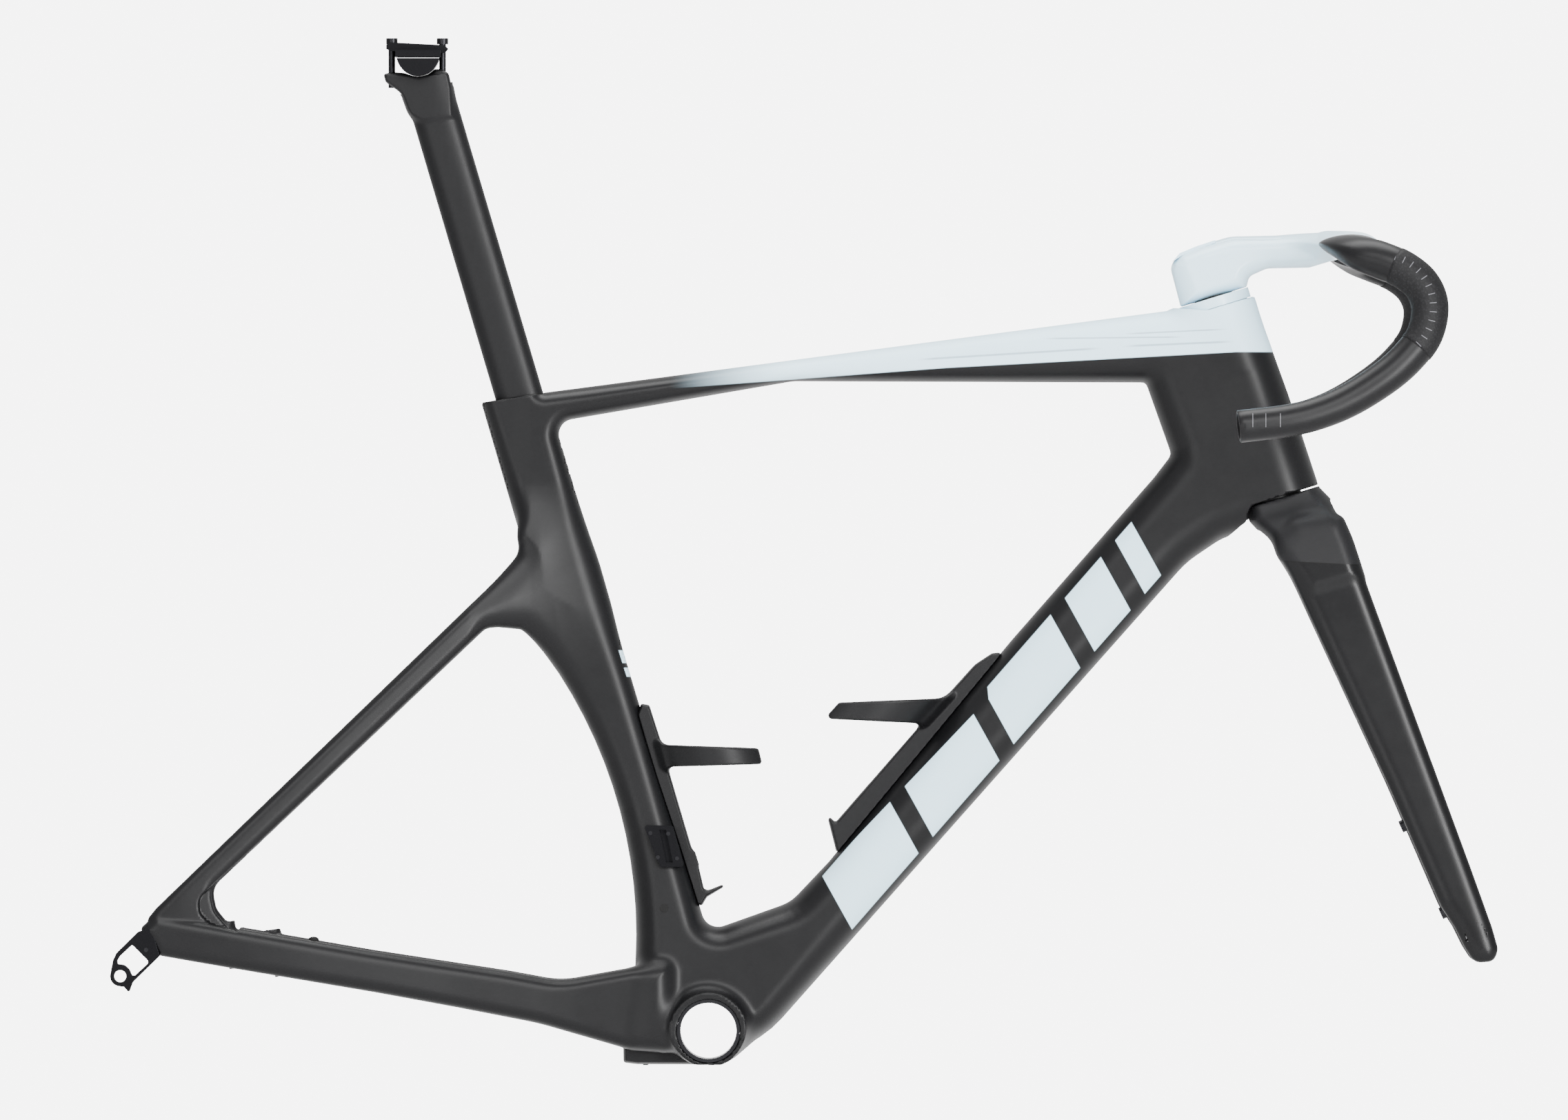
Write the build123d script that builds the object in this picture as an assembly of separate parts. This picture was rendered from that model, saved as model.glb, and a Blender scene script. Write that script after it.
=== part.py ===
from build123d import *
from math import cos, radians, sin, tan
import os

# Aero road bicycle frame with its fork, headset, seatpost, cockpit and bottle cages.
# Millimetres. The origin is the centre of the bottom bracket bore, +X forward, +Y to the
# rider's left, +Z up. Each piece is one node and is written to parts/NODE.step.

# --- driving dimensions -------------------------------------------------------------------
HEAD_ANGLE = 73.0
SEAT_ANGLE = 73.5
HEAD_TOP = (372.0, 529.7)
HEAD_LENGTH = 146.0
REAR_AXLE = (-404.0, 70.0)
FRONT_AXLE = (561.0, 70.0)
REAR_SPACING = 142.0
FRONT_SPACING = 100.0
TYRE_ROOM_RADIUS = 347.0
FRONT_ROOM_RADIUS = 343.0
TYRE_ROOM_HALF = 21.5

BB_WIDTH = 86.5
BB_BORE = 20.5
BB_SLEEVE = 23.0
BB_SHELL = 25.0
WALL = 2.2

AXLE_BORE = 6.1
AXLE_THREAD = 5.5
INSERT_RADIUS = 7.5
INSERT_LENGTH = 10.0
DROPOUT_THICKNESS = 12.0

POST_DEPTH = 34.6
POST_WIDTH = 24.0
POST_CORNER = 11.5
POST_WALL = 2.6
POST_FIT = 0.3
POST_BOTTOM = -95.0
POST_HEAD = 226.0
SEAT_CENTRE = (-138.1, 463.0)
SEAT_WIDTH = 28.5

RAIL_RADIUS = 3.5
RAIL_SPACING = 44.0
TILT_CENTRE = (-212.7, 714.5)
TILT_SEAT = 16.0
TILT_TRACK = (22.2, 31.4)
CLAMP_BOLT_X = (-231.9, -194.8)

UPPER_BEARING = (17.0, 23.5)
LOWER_BEARING = (20.0, 26.0)
BEARING_HEIGHT = 7.0
BALL_RADIUS = 1.5
BALL_COUNT = 18
STEERER_RADIUS = 14.3
STEERER_BASE = 19.8
STEERER_BORE = 11.8
STEERER_TOP = 38.0
COVER_TOP = 7.2
STEM_BASE = 7.5
STEM_REAR = 25.6

CAP_RADIUS = 16.5
PRELOAD_RADIUS = 3.0
BRAKE_STUD_RADIUS = 4.5

BAR_RADIUS = 11.9
BAR_WALL = 1.8
BAR_TOP_HALF = 150.0
BOTTLE_RADIUS = 37.0
CAGE_THICKNESS = 2.6
BOSS_SPACING = 64.0
BOSS_RADIUS = 2.5

head_rise = radians(HEAD_ANGLE)
seat_rise = radians(SEAT_ANGLE)
steer = Plane(
    origin=(HEAD_TOP[0], 0, HEAD_TOP[1]),
    x_dir=(sin(head_rise), 0, cos(head_rise)),
    z_dir=(-cos(head_rise), 0, sin(head_rise)),
)
seat = Plane(
    origin=(SEAT_CENTRE[0], 0, SEAT_CENTRE[1]),
    x_dir=(sin(seat_rise), 0, cos(seat_rise)),
    z_dir=(-cos(seat_rise), 0, sin(seat_rise)),
)
DOWN_ANGLE = 48.9
down_rise = radians(DOWN_ANGLE)
nodes = {}


# --- helpers ------------------------------------------------------------------------------
def along_y(x, z, radius, y_low, y_high):
    """A rod across the frame."""
    return Pos(x, (y_low + y_high) / 2, z) * Rot(90, 0, 0) * Cylinder(radius, y_high - y_low)


def plate(points, y_low, y_high, corner=0.0):
    """A plate whose side view is the outline, from one Y to another."""
    if corner:
        outline = FilletPolyline(*points, radius=corner, close=True)
    else:
        outline = Polyline(*points, close=True)
    face = Pos(0, y_high, 0) * (Plane.XZ * make_face(outline))
    return extrude(face, y_high - y_low, dir=(0, -1, 0))


def across(x, z, heading, depth, width, corner, y=0.0):
    """A rounded section across a tube that rises at the heading, in degrees from +X."""
    rise = radians(heading)
    cut = Plane(origin=(x, y, z), x_dir=(0, 1, 0), z_dir=(cos(rise), 0, sin(rise)))
    return cut * RectangleRounded(width, depth, min(corner, width / 2.02, depth / 2.02))


def level(z, rear, front, width, corner, y=0.0):
    """A rounded section in a level plane, from the rear X to the front X."""
    depth = front - rear
    cut = Plane(origin=((rear + front) / 2, y, z), x_dir=(1, 0, 0), z_dir=(0, 0, 1))
    return cut * RectangleRounded(depth, width, min(corner, width / 2.02, depth / 2.02))


def square_to(plane, height, rear, front, width, corner):
    """A rounded section square to the steering or seat axis at a height along it."""
    depth = front - rear
    place = plane.location * Pos((rear + front) / 2, 0, height)
    return place * RectangleRounded(depth, width, min(corner, width / 2.02, depth / 2.02))


def shrink(stations, maker, wall):
    """The same stations with the wall taken off, for the hollow inside a tube."""
    inner = []
    for station in stations:
        if maker is across:
            x, z, heading, depth, width, corner, *y = station
            size = (depth - 2 * wall, width - 2 * wall, max(corner - wall, 0.8))
            inner.append((x, z, heading, *size, *y))
        else:
            z, rear, front, width, corner, *y = station
            size = (rear + wall, front - wall, width - 2 * wall, max(corner - wall, 0.8))
            inner.append((z, *size, *y))
    return inner


def shell(stations, maker, wall):
    """Outer solid and hollow core of a tube through its stations."""
    outer = loft([maker(*station) for station in stations], ruled=True)
    core = loft([maker(*station) for station in shrink(stations, maker, wall)], ruled=True)
    return outer, core


def ring(plane, outer, inner, low, high):
    """A round ring on the steering or seat axis."""
    body = Cylinder(outer, high - low) - Cylinder(inner, high - low + 1)
    return plane.location * Pos(0, 0, (low + high) / 2) * body


def largest(shape):
    """The biggest solid of a cut shape, without the loose slivers."""
    return max(shape.solids(), key=lambda solid: solid.volume)


def flip(shape):
    """The same piece on the other side of the frame."""
    return mirror(shape, about=Plane.XZ)


# --- room left for the wheels and the fork crown ------------------------------------------
rear_room = along_y(*REAR_AXLE, TYRE_ROOM_RADIUS, -TYRE_ROOM_HALF, TYRE_ROOM_HALF)
front_room = along_y(*FRONT_AXLE, FRONT_ROOM_RADIUS, -TYRE_ROOM_HALF, TYRE_ROOM_HALF)
crown_room = steer.location * Pos(0, 0, -HEAD_LENGTH - 25) * Cylinder(27.0, 50)
crown_room += steer.location * Pos(0, 0, -HEAD_LENGTH - 40) * Cylinder(46.0, 50)

# --- head tube ----------------------------------------------------------------------------
head_stations = [
    (0, -27, 26.5, 53, 26),
    (-45, -29, 30.0, 56, 27),
    (-100, -31, 32.5, 60, 29),
    (-HEAD_LENGTH, -33, 33.4, 66, 31),
]
head_outer = loft([square_to(steer, *station) for station in head_stations], ruled=True)
head_core = loft(
    [
        square_to(steer, -20, -24, 24, 48, 23),
        square_to(steer, -130, -29, 29, 57, 28),
    ],
    ruled=True,
)
head_bore = steer.location * Pos(0, 0, -HEAD_LENGTH / 2) * Cylinder(21.0, HEAD_LENGTH + 2)
upper_seat = steer.location * Pos(0, 0, -4) * Cylinder(UPPER_BEARING[1], 12)
lower_seat = steer.location * Pos(0, 0, -HEAD_LENGTH) * Cylinder(LOWER_BEARING[1], 15)
nodes["head_tube"] = head_outer - head_core - head_bore - upper_seat - lower_seat

# --- bottom bracket junction and its sleeve -----------------------------------------------
shell_rod = along_y(0, 0, BB_SHELL, -BB_WIDTH / 2, BB_WIDTH / 2)
WEB_TOP = 79
web_outline = [
    (-56, -14), (18, -19), (47, 2), (76, 30), (33, WEB_TOP), (-53, WEB_TOP), (-54, 50),
]
web = plate(web_outline, -33, 33, corner=4)
web_core = plate([(-51, -8), (20, -12), (44, 7), (70, 32), (36, 76), (-48, 76)], -30.5, 30.5)
sleeve_room = along_y(0, 0, BB_SLEEVE, -BB_WIDTH, BB_WIDTH)
bb_outer = web + shell_rod
nodes["bb_junction"] = (web - web_core + shell_rod) - sleeve_room
nodes["bb_sleeve"] = along_y(0, 0, BB_SLEEVE, -BB_WIDTH / 2, BB_WIDTH / 2) - along_y(
    0, 0, BB_BORE, -BB_WIDTH, BB_WIDTH
)

# --- seat tube ----------------------------------------------------------------------------
seat_low_stations = [
    (WEB_TOP, -52, -3, 56, 18),
    (95, -52, -7.5, 52, 18),
    (120, -55, -15, 44, 16),
    (150, -61, -24, 38, 14),
    (180, -70, -33, 34, 13),
    (210, -82.5, -42, 31, 12),
    (255, -106.3, -55.8, SEAT_WIDTH, 12),
    (470, -169.9, -119.4, SEAT_WIDTH, 12),
]
seat_outer, seat_core = shell(seat_low_stations, level, WALL)
seat_mouth = plate([(-190, 456), (-90, 472), (-90, 520), (-190, 520)], -40, 40)
seat_outer -= seat_mouth
seat_low_core = seat_core & Pos(-60, 0, 150) * Box(200, 100, 222)
post_fit = RectangleRounded(POST_DEPTH + 2 * POST_FIT, POST_WIDTH + 2 * POST_FIT, POST_CORNER)
post_room = seat.location * Pos(0, 0, -80) * extrude(post_fit, 130, both=True)
wedge_room = seat.location * Pos(-21.0, 0, -28) * Box(10.8, 17, 70)
rear_hollow = seat.location * Pos(-22.6, 0, -128) * Box(6.4, 18, 110)
nodes["seat_tube"] = largest(
    seat_outer - seat_low_core - post_room - wedge_room - rear_hollow - rear_room
)

# --- top tube, head gusset and down tube --------------------------------------------------
top_stations = [
    (-122, 455, 8, 24, 30, 10),
    (-60, 465, 8, 22, 34, 10),
    (-5, 473.2, 8, 20, 38, 9),
    (60, 482, 6, 17.5, 40, 8),
    (155, 488.8, 4, 27.5, 41, 10),
    (235, 493.6, 4, 38.2, 42, 12),
    (315, 498.2, 4, 49, 44, 14),
    (352, 500.5, 4, 55, 46, 14),
]
top_outer, top_core = shell(top_stations, across, WALL)
down_stations = [
    (46, 41, DOWN_ANGLE, 60, 58, 22),
    (171, 184, DOWN_ANGLE, 59.5, 54, 24),
    (317, 349, DOWN_ANGLE, 58.2, 54, 24),
    (357, 388, 42, 59, 54, 24),
    (384, 409, 32, 62, 54, 24),
]
down_outer, down_core = shell(down_stations, across, WALL)
gusset_outline = [
    (319, 470), (333, 474), (392, 500), (414, 430), (366, 400), (330, 406), (337, 424), (331, 445),
]
gusset_inside = [(323, 468), (390, 496), (410, 432), (364, 404), (333, 409), (339.5, 424), (333, 446)]
gusset = plate(gusset_outline, -24, 24)
gusset_core = plate(gusset_inside, -21.8, 21.8)
nodes["head_gusset"] = largest(gusset - gusset_core - head_outer - down_outer - top_outer)
stem_room = steer.location * Pos(0, 0, 25) * Cylinder(STEM_REAR + 1.2, 50)
top_tube = top_outer - top_core - head_outer - stem_room
nodes["top_tube"] = largest(top_tube - seat_outer - post_room - wedge_room)
down_tube = down_outer - down_core - head_outer - bb_outer - crown_room
nodes["down_tube"] = largest(down_tube - top_outer)

# --- seat cluster and rear triangle -------------------------------------------------------
cluster_outline = [
    (-178, 285), (-165, 297), (-112, 297), (-128, 352), (-137, 368), (-140, 346), (-155, 331),
    (-186, 301),
]
cluster_outer = plate(cluster_outline, -38, 38)
cluster_core = plate(
    [(-174, 292), (-163, 300), (-116, 300), (-131, 350), (-152, 328), (-180, 300)], -35.5, 35.5
)
nodes["seat_cluster"] = largest(cluster_outer - cluster_core - seat_outer - rear_room)

STAY_ANGLE = 44.2
seatstay_stations = [
    (-168, 306, STAY_ANGLE, 17, 14, 6, 30.5),
    (-280, 197.5, STAY_ANGLE, 16.5, 12, 5.5, 55),
    (-392, 89, STAY_ANGLE, 17, DROPOUT_THICKNESS, 5, 77),
]
seatstay_outer, seatstay_core = shell(seatstay_stations, across, 1.6)
CHAIN_RISE = 9.7
chainstay_stations = [
    (-44, 14, CHAIN_RISE, 42, 22, 9, 29),
    (-104, 18.5, CHAIN_RISE, 36.5, 22, 9, 34),
    (-184, 32.5, CHAIN_RISE, 31, 20, 9, 46),
    (-244, 42.5, CHAIN_RISE, 29.5, 18, 8, 57),
    (-304, 52.5, CHAIN_RISE, 29.5, 16, 7, 69),
    (-344, 59.5, CHAIN_RISE, 31, 15, 6, 73),
    (-380, 68, CHAIN_RISE, 36, DROPOUT_THICKNESS, 5, 77),
]
chainstay_outer, chainstay_core = shell(chainstay_stations, across, 1.8)

dropout_inner = REAR_SPACING / 2
dropout_outer_y = dropout_inner + DROPOUT_THICKNESS
dropout_outline = [
    (-363, 48.8), (-401.8, 55), (-411, 65), (-415.5, 75), (-401, 92), (-386, 107), (-371, 96), (-361, 86),
]
dropout = plate(dropout_outline, dropout_inner, dropout_outer_y, corner=3)
dropout_room = plate(dropout_outline, -dropout_outer_y - 30, dropout_outer_y + 30, corner=3)
axle_hole = along_y(*REAR_AXLE, AXLE_BORE, dropout_inner - 5, dropout_outer_y + 5)
insert_room = along_y(*REAR_AXLE, INSERT_RADIUS, -dropout_inner - INSERT_LENGTH, -dropout_inner + 1)
nodes["dropout_left"] = dropout - axle_hole
nodes["dropout_right"] = flip(dropout) - insert_room
rear_insert = along_y(*REAR_AXLE, INSERT_RADIUS, -dropout_inner - INSERT_LENGTH, -dropout_inner)
rear_thread = along_y(*REAR_AXLE, AXLE_THREAD, -dropout_inner - INSERT_LENGTH + 1.5, -dropout_inner + 1)
nodes["rear_axle_insert"] = rear_insert - rear_thread

cluster_room = plate([(-178, 285), (-186, 301), (-100, 390), (-100, 200)], -60, 60)
seatstay = largest(seatstay_outer - seatstay_core - cluster_room - dropout_room - rear_room)
chainstay = largest(chainstay_outer - chainstay_core - bb_outer - dropout_room - rear_room)
nodes["seatstay_left"] = seatstay
nodes["seatstay_right"] = flip(seatstay)
nodes["chainstay_right"] = flip(chainstay)

# rear brake: two sleeves through the left chainstay, square to its top face
REAR_BRAKE_X = (-350.0, -316.5)
BRAKE_SLEEVE = 4.5
REAR_BRAKE_Y = 72.0
BRAKE_BORE = 2.75
stay_normal = (-sin(radians(CHAIN_RISE)), 0, cos(radians(CHAIN_RISE)))
sleeves = []
sleeve_rooms = []
for x in REAR_BRAKE_X:
    height = 59.5 - (x + 344) * tan(radians(CHAIN_RISE))
    base = Plane(origin=(x, REAR_BRAKE_Y, height), x_dir=(0, 1, 0), z_dir=stay_normal)
    sleeves.append(base.location * (Cylinder(BRAKE_SLEEVE, 32) - Cylinder(BRAKE_BORE, 33)))
    sleeve_rooms.append(base.location * Cylinder(BRAKE_SLEEVE, 40))
nodes["rear_brake_inserts"] = Compound(sleeves)
left_stay = chainstay
for room in sleeve_rooms:
    left_stay = left_stay - room
nodes["chainstay_left"] = largest(left_stay)

# derailleur hanger, an open arm behind the right dropout, and its bolt
HANGER_HOLE = (-429.5, 40.5)
HANGER_THREAD = 4.5
HANGER_RING = 7.2
HANGER_Y = (-83.0, -75.0)
HANGER_BOLT = (-410.7, 59.6)
hanger_outline = [
    (-409, 74), (-416, 72), (-431.8, 56.5), (-434.2, 52), (-436, 44), (-432, 34), (-426.6, 33.5),
    (-423.2, 29.6), (-420.7, 36), (-419, 38.2), (-401, 56.5),
]
hanger_window = [
    (-420.7, 64.8), (-430.5, 55.8), (-432.1, 52.5), (-431.6, 49), (-426.7, 48), (-423.4, 46.3),
    (-420.7, 39.8), (-418, 40.2), (-407.9, 49.9), (-408, 52.5),
]
hanger = plate(hanger_outline, *HANGER_Y) - plate(hanger_window, -90, -70, corner=1)
hanger += along_y(*HANGER_HOLE, HANGER_RING, *HANGER_Y)
hanger_bolt_shaft = along_y(*HANGER_BOLT, 1.6, *HANGER_Y)
hanger = hanger - dropout_room - along_y(*HANGER_HOLE, HANGER_THREAD, -90, -70)
nodes["derailleur_hanger"] = largest(hanger - hanger_bolt_shaft)
hanger_bolt_head = along_y(*HANGER_BOLT, 2.6, -75, -73) - along_y(*HANGER_BOLT, 1.0, -74.5, -72)
nodes["hanger_bolt"] = hanger_bolt_shaft + hanger_bolt_head

# --- small frame hardware -----------------------------------------------------------------
mount_plate = plate([(-47.5, 150.5), (-26, 150), (-17.5, 120), (-35.5, 120)], -27, -16.5, corner=2)
slot = plate([(-36, 147), (-31, 147), (-26, 123), (-31, 123)], -28, -23)
MOUNT_SCREWS = [(-42.5, 144.6), (-29.4, 144.2), (-37.0, 126.9), (-23.0, 126.1)]
screws = [along_y(x, z, 1.5, -27.6, -22) for x, z in MOUNT_SCREWS]
mount_plate = mount_plate - slot - seat_outer
for screw in screws:
    mount_plate = mount_plate - screw
nodes["front_derailleur_mount"] = largest(mount_plate)
nodes["derailleur_mount_screws"] = Compound(screws)

plug_room = along_y(-32.3, 89.7, 3.0, -30, -20)
nodes["seat_tube"] = largest(nodes["seat_tube"] - plug_room)
nodes["wire_port_plug"] = along_y(-32.3, 89.7, 3.0, -27.6, -23.5)

cover_outline = [(-112, -3), (-62, -17), (-57, -14.2), (15, -19.2), (8, -25), (-56, -25), (-86, -16)]
cover = plate(cover_outline, -17, 17)
cover = cover - bb_outer - rear_room
COVER_SCREWS = [(-46, -25.6), (2, -25.6)]
cover_screws = [Pos(x, 0, z + 3.4) * Cylinder(2.0, 6.6) for x, z in COVER_SCREWS]
for screw in cover_screws:
    cover = cover - screw
nodes["bottom_port_cover"] = largest(cover)
nodes["port_cover_screws"] = Compound([screw - bb_outer for screw in cover_screws])

hose_plug = Pos(-290, 64.5, 65.6) * Rot(0, 10, 0) * Cylinder(3.2, 6)
nodes["rear_hose_plug"] = hose_plug - chainstay_outer

# --- seatpost and the wedge that clamps it --------------------------------------------------
post_tube = seat.location * Pos(0, 0, POST_BOTTOM) * extrude(
    RectangleRounded(POST_DEPTH, POST_WIDTH, POST_CORNER), POST_HEAD - POST_BOTTOM
)
post_hollow = seat.location * Pos(0, 0, POST_BOTTOM - 1) * extrude(
    RectangleRounded(POST_DEPTH - 2 * POST_WALL, POST_WIDTH - 2 * POST_WALL, POST_CORNER - POST_WALL),
    POST_HEAD - POST_BOTTOM - 20,
)
head_outline = [
    (-220.5, 679), (-226, 685.5), (-237, 693.5), (-239, 700.5), (-234, 702), (-222, 703), (-203, 703),
    (-193.5, 703.5), (-189.5, 701.4), (-187, 690), (-184.5, 680),
]
post = post_tube - plate([(-250, 697), (-170, 697), (-170, 730), (-250, 730)], -40, 40)
post = post + plate(head_outline, -12, 12) - post_hollow
post = post - along_y(*TILT_CENTRE, TILT_SEAT, -40, 40)
track = along_y(*TILT_CENTRE, TILT_TRACK[1], -7.7, 7.7) - along_y(*TILT_CENTRE, TILT_TRACK[0], -8, 8)
bolt_slots = along_y(*TILT_CENTRE, TILT_TRACK[1] + 2.5, -3.2, 3.2)
rear_sector = plate([TILT_CENTRE, (-262, 716), (-262, 672), (-216, 672)], -8, 8)
front_sector = plate([TILT_CENTRE, (-166, 716), (-166, 672), (-208, 672)], -8, 8)
post = post - ((track + bolt_slots) & (rear_sector + front_sector))
nodes["seatpost"] = largest(post)

WEDGE_BOLT = -23.4
shoe = seat.location * Pos(-18.9, 0, -33) * Box(3.0, 16, 40)
nodes["clamp_shoe"] = largest(shoe - post_room)
wedge_outline = [(-26.2, -55), (-20.6, -55), (-20.6, -20), (-26.2, -16)]
wedge_points = [seat.from_local_coords(Vector(x, 0, z)) for x, z in wedge_outline]
wedge = plate([(point.X, point.Z) for point in wedge_points], -8, 8)
wedge_hole = seat.location * Pos(WEDGE_BOLT, 0, -30) * Cylinder(1.8, 80)
nodes["clamp_wedge"] = wedge - wedge_hole
bolt_shaft = seat.location * Pos(WEDGE_BOLT, 0, -32) * Cylinder(1.7, 48)
bolt_head = seat.location * Pos(WEDGE_BOLT, 0, -9) * Cylinder(2.7, 6)
bolt_socket = seat.location * Pos(WEDGE_BOLT, 0, -6) * extrude(RegularPolygon(1.5, 6), 6)
nodes["clamp_bolt"] = bolt_shaft + bolt_head - bolt_socket
seal = seat.location * Pos(-21.0, 0, -1.5) * Box(10.4, 16.6, 9)
seal_fit = RectangleRounded(POST_DEPTH + 0.7, POST_WIDTH + 0.7, POST_CORNER)
seal -= seat.location * Pos(0, 0, -40) * extrude(seal_fit, 60, both=True)
seal -= seat.location * Pos(WEDGE_BOLT, 0, -2) * Cylinder(2.6, 8)
nodes["post_seal"] = largest(seal - seat_mouth)

# saddle clamp: cradle, rail clamp, two bolts and their barrel nuts
rail_z = TILT_CENTRE[1] - 2.4
rails = [
    Pos(TILT_CENTRE[0], side * RAIL_SPACING / 2, rail_z) * Rot(0, 90, 0) * Cylinder(RAIL_RADIUS, 90)
    for side in (-1, 1)
]
cradle = along_y(*TILT_CENTRE, TILT_SEAT - 0.25, -26.5, 26.5)
cradle -= Pos(TILT_CENTRE[0], 0, rail_z + 24.6) * Box(60, 60, 50)
upper = Pos(TILT_CENTRE[0], 0, rail_z + 3.0) * Box(33, 53, 5.2)
upper_outline = [
    (-236, 721.5), (-233, 723.4), (-193, 721.3), (-190.5, 718.6), (-193, 715.6), (-224, 716.5),
    (-232, 717), (-236, 718.5),
]
upper += plate(upper_outline, -8, 8)
clamp_bolts = []
for x in CLAMP_BOLT_X:
    shaft = Pos(x, 0, 706) * Cylinder(2.5, 32)
    head = Pos(x, 0, 724.2) * Cylinder(4.2, 4.4)
    clamp_bolts.append(shaft + head - Pos(x, 0, 726) * Cylinder(2.0, 3))
nut_places = [(CLAMP_BOLT_X[0], 695.8), (CLAMP_BOLT_X[1], 694.7)]
nuts = [along_y(x, z, 4.0, -7, 7) for x, z in nut_places]
for index, bolt in enumerate(clamp_bolts):
    cradle -= bolt
    upper -= bolt
    nuts[index] = nuts[index] - bolt
for rail in rails:
    cradle -= rail
    upper -= rail
nodes["saddle_cradle"] = largest(cradle)
nodes["saddle_rail_clamp"] = largest(upper)
nodes["saddle_clamp_bolts"] = Compound(clamp_bolts)
nodes["saddle_barrel_nuts"] = Compound(nuts)


# --- headset ------------------------------------------------------------------------------
def bearing(label, radii, low):
    """Cartridge bearing: two races with a groove each, and the balls between them."""
    high = low + BEARING_HEIGHT
    pitch = (radii[0] + radii[1]) / 2
    groove = steer.location * Pos(0, 0, (low + high) / 2) * Rot(0, 0, 37) * Torus(pitch, BALL_RADIUS + 0.1)
    nodes[label + "_bearing_outer"] = ring(steer, radii[1], pitch + 0.9, low, high) - groove
    nodes[label + "_bearing_inner"] = ring(steer, pitch - 0.9, radii[0], low, high) - groove
    middle = steer.location * Pos(0, 0, (low + high) / 2)
    balls = []
    for index in range(BALL_COUNT):
        turn = Rot(0, 0, 360 / BALL_COUNT * index)
        balls.append(middle * turn * Pos(pitch, 0, 0) * Sphere(BALL_RADIUS))
    nodes[label + "_bearing_balls"] = Compound(balls)


bearing("upper", UPPER_BEARING, -10.0)
bearing("lower", LOWER_BEARING, -HEAD_LENGTH + 0.5)
nodes["headset_cover"] = ring(steer, 26.3, 18.0, 0, COVER_TOP) + ring(steer, UPPER_BEARING[1], 21.0, -2.9, 0)
nodes["compression_ring"] = ring(steer, UPPER_BEARING[0], STEERER_RADIUS, -9, STEM_BASE - 0.1)

# --- fork ---------------------------------------------------------------------------------
CROWN_TOP = -HEAD_LENGTH - 2.5
steerer = steer.location * Pos(0, 0, (STEERER_TOP - 100) / 2) * Cylinder(STEERER_RADIUS, STEERER_TOP + 100)
steerer += steer.location * Pos(0, 0, -119) * Cone(STEERER_BASE, STEERER_RADIUS, 38)
steerer += steer.location * Pos(0, 0, (CROWN_TOP - 138) / 2) * Cylinder(STEERER_BASE, -138 - CROWN_TOP)
steerer -= steer.location * Pos(0, 0, -40) * Cylinder(STEERER_BORE, 260)
nodes["steerer"] = steerer
crown_stations = [
    (CROWN_TOP, -21, 33, 46, 22),
    (-157, -23, 39, 50, 22),
    (-175, -14.6, 42.8, 76, 20),
    (-207, -4.1, 45.4, 80, 18),
]
crown_outer = loft([square_to(steer, *station) for station in crown_stations], ruled=True)
blade_stations = [
    (356, 414, 470, 17.5, 8, 31),
    (330, 427, 480.5, 17.5, 8, 31.5),
    (300, 441, 491, 16, 7.5, 33.5),
    (240.5, 469, 513, 14.5, 7, 39),
    (180.7, 496.5, 535.2, 13.5, 6.5, 45.5),
    (121, 522, 556.8, 13, 6, 52),
    (91, 535.7, 567.9, 13, 6, 55.7),
    (76, 545.3, 572.9, 13, 6, 56.5),
    (52, 555, 577.4, 13, 6, 56.5),
]
blade_outer, blade_core = shell(blade_stations, level, 2.0)
blade_core = blade_core & Pos(500, 60, 210) * Box(300, 200, 190)
nodes["fork_crown"] = largest(crown_outer - front_room)
blade = blade_outer - crown_outer - front_room
front_insert = along_y(*FRONT_AXLE, INSERT_RADIUS, -FRONT_SPACING / 2 - INSERT_LENGTH, -FRONT_SPACING / 2)
front_insert_room = along_y(*FRONT_AXLE, INSERT_RADIUS, -FRONT_SPACING / 2 - INSERT_LENGTH, -40)
front_thread = along_y(*FRONT_AXLE, AXLE_THREAD, -FRONT_SPACING / 2 - INSERT_LENGTH + 1.5, -40)
nodes["fork_blade_right"] = flip(blade - blade_core) - front_insert_room
nodes["front_axle_insert"] = front_insert - front_thread
FRONT_BRAKE = [(512.2, 49.5, 150.6), (541.6, 55.5, 87.0)]
brake_heading = Vector(-0.909, 0, -0.417)
left_blade = blade - blade_core - along_y(*FRONT_AXLE, AXLE_BORE, 40, 70)
BRAKE_STUD_THREAD = 2.1
studs = []
for x, y, z in FRONT_BRAKE:
    stud = Plane(origin=(x, y, z), x_dir=(0, 1, 0), z_dir=brake_heading).location * Pos(0, 0, -2)
    studs.append(stud * (Cylinder(BRAKE_STUD_RADIUS, 14) - Pos(0, 0, 2) * Cylinder(BRAKE_STUD_THREAD, 12)))
    left_blade -= stud * Pos(0, 0, 8) * Cylinder(BRAKE_STUD_RADIUS, 30)
nodes["fork_blade_left"] = largest(left_blade)
nodes["front_brake_inserts"] = Compound(studs)

# --- cockpit ------------------------------------------------------------------------------
stem_outline = [
    (346.4, 532), (338, 559), (345, 568), (357, 573), (380, 580), (415, 581.5), (449, 582), (452, 571),
    (449, 560), (415, 558.4), (402, 557), (396, 551), (394.6, 546.8),
]
stem = plate(stem_outline, -19, 19)
stem_reach = steer.location * Pos(0, 0, STEM_BASE + 40) * Cylinder(STEM_REAR, 80)
stem_reach += steer.location * Pos(60, 0, STEM_BASE + 40) * Box(120, 60, 80)
stem = stem & stem_reach
steerer_room = steer.location * Pos(0, 0, 30) * Cylinder(STEERER_RADIUS + 0.02, 80)
cap_room = steer.location * Pos(0, 0, STEERER_TOP + 15) * Cylinder(17, 30)
stem_hollow = plate([(392, 577), (447, 578), (447, 564), (410, 562), (394, 560)], -16, 16)
top_cover = plate(
    [(339.5, 562.5), (345, 569), (357, 574), (371, 578.6), (371, 576.6), (358, 572), (346, 567)], -14, 14
)
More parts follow.
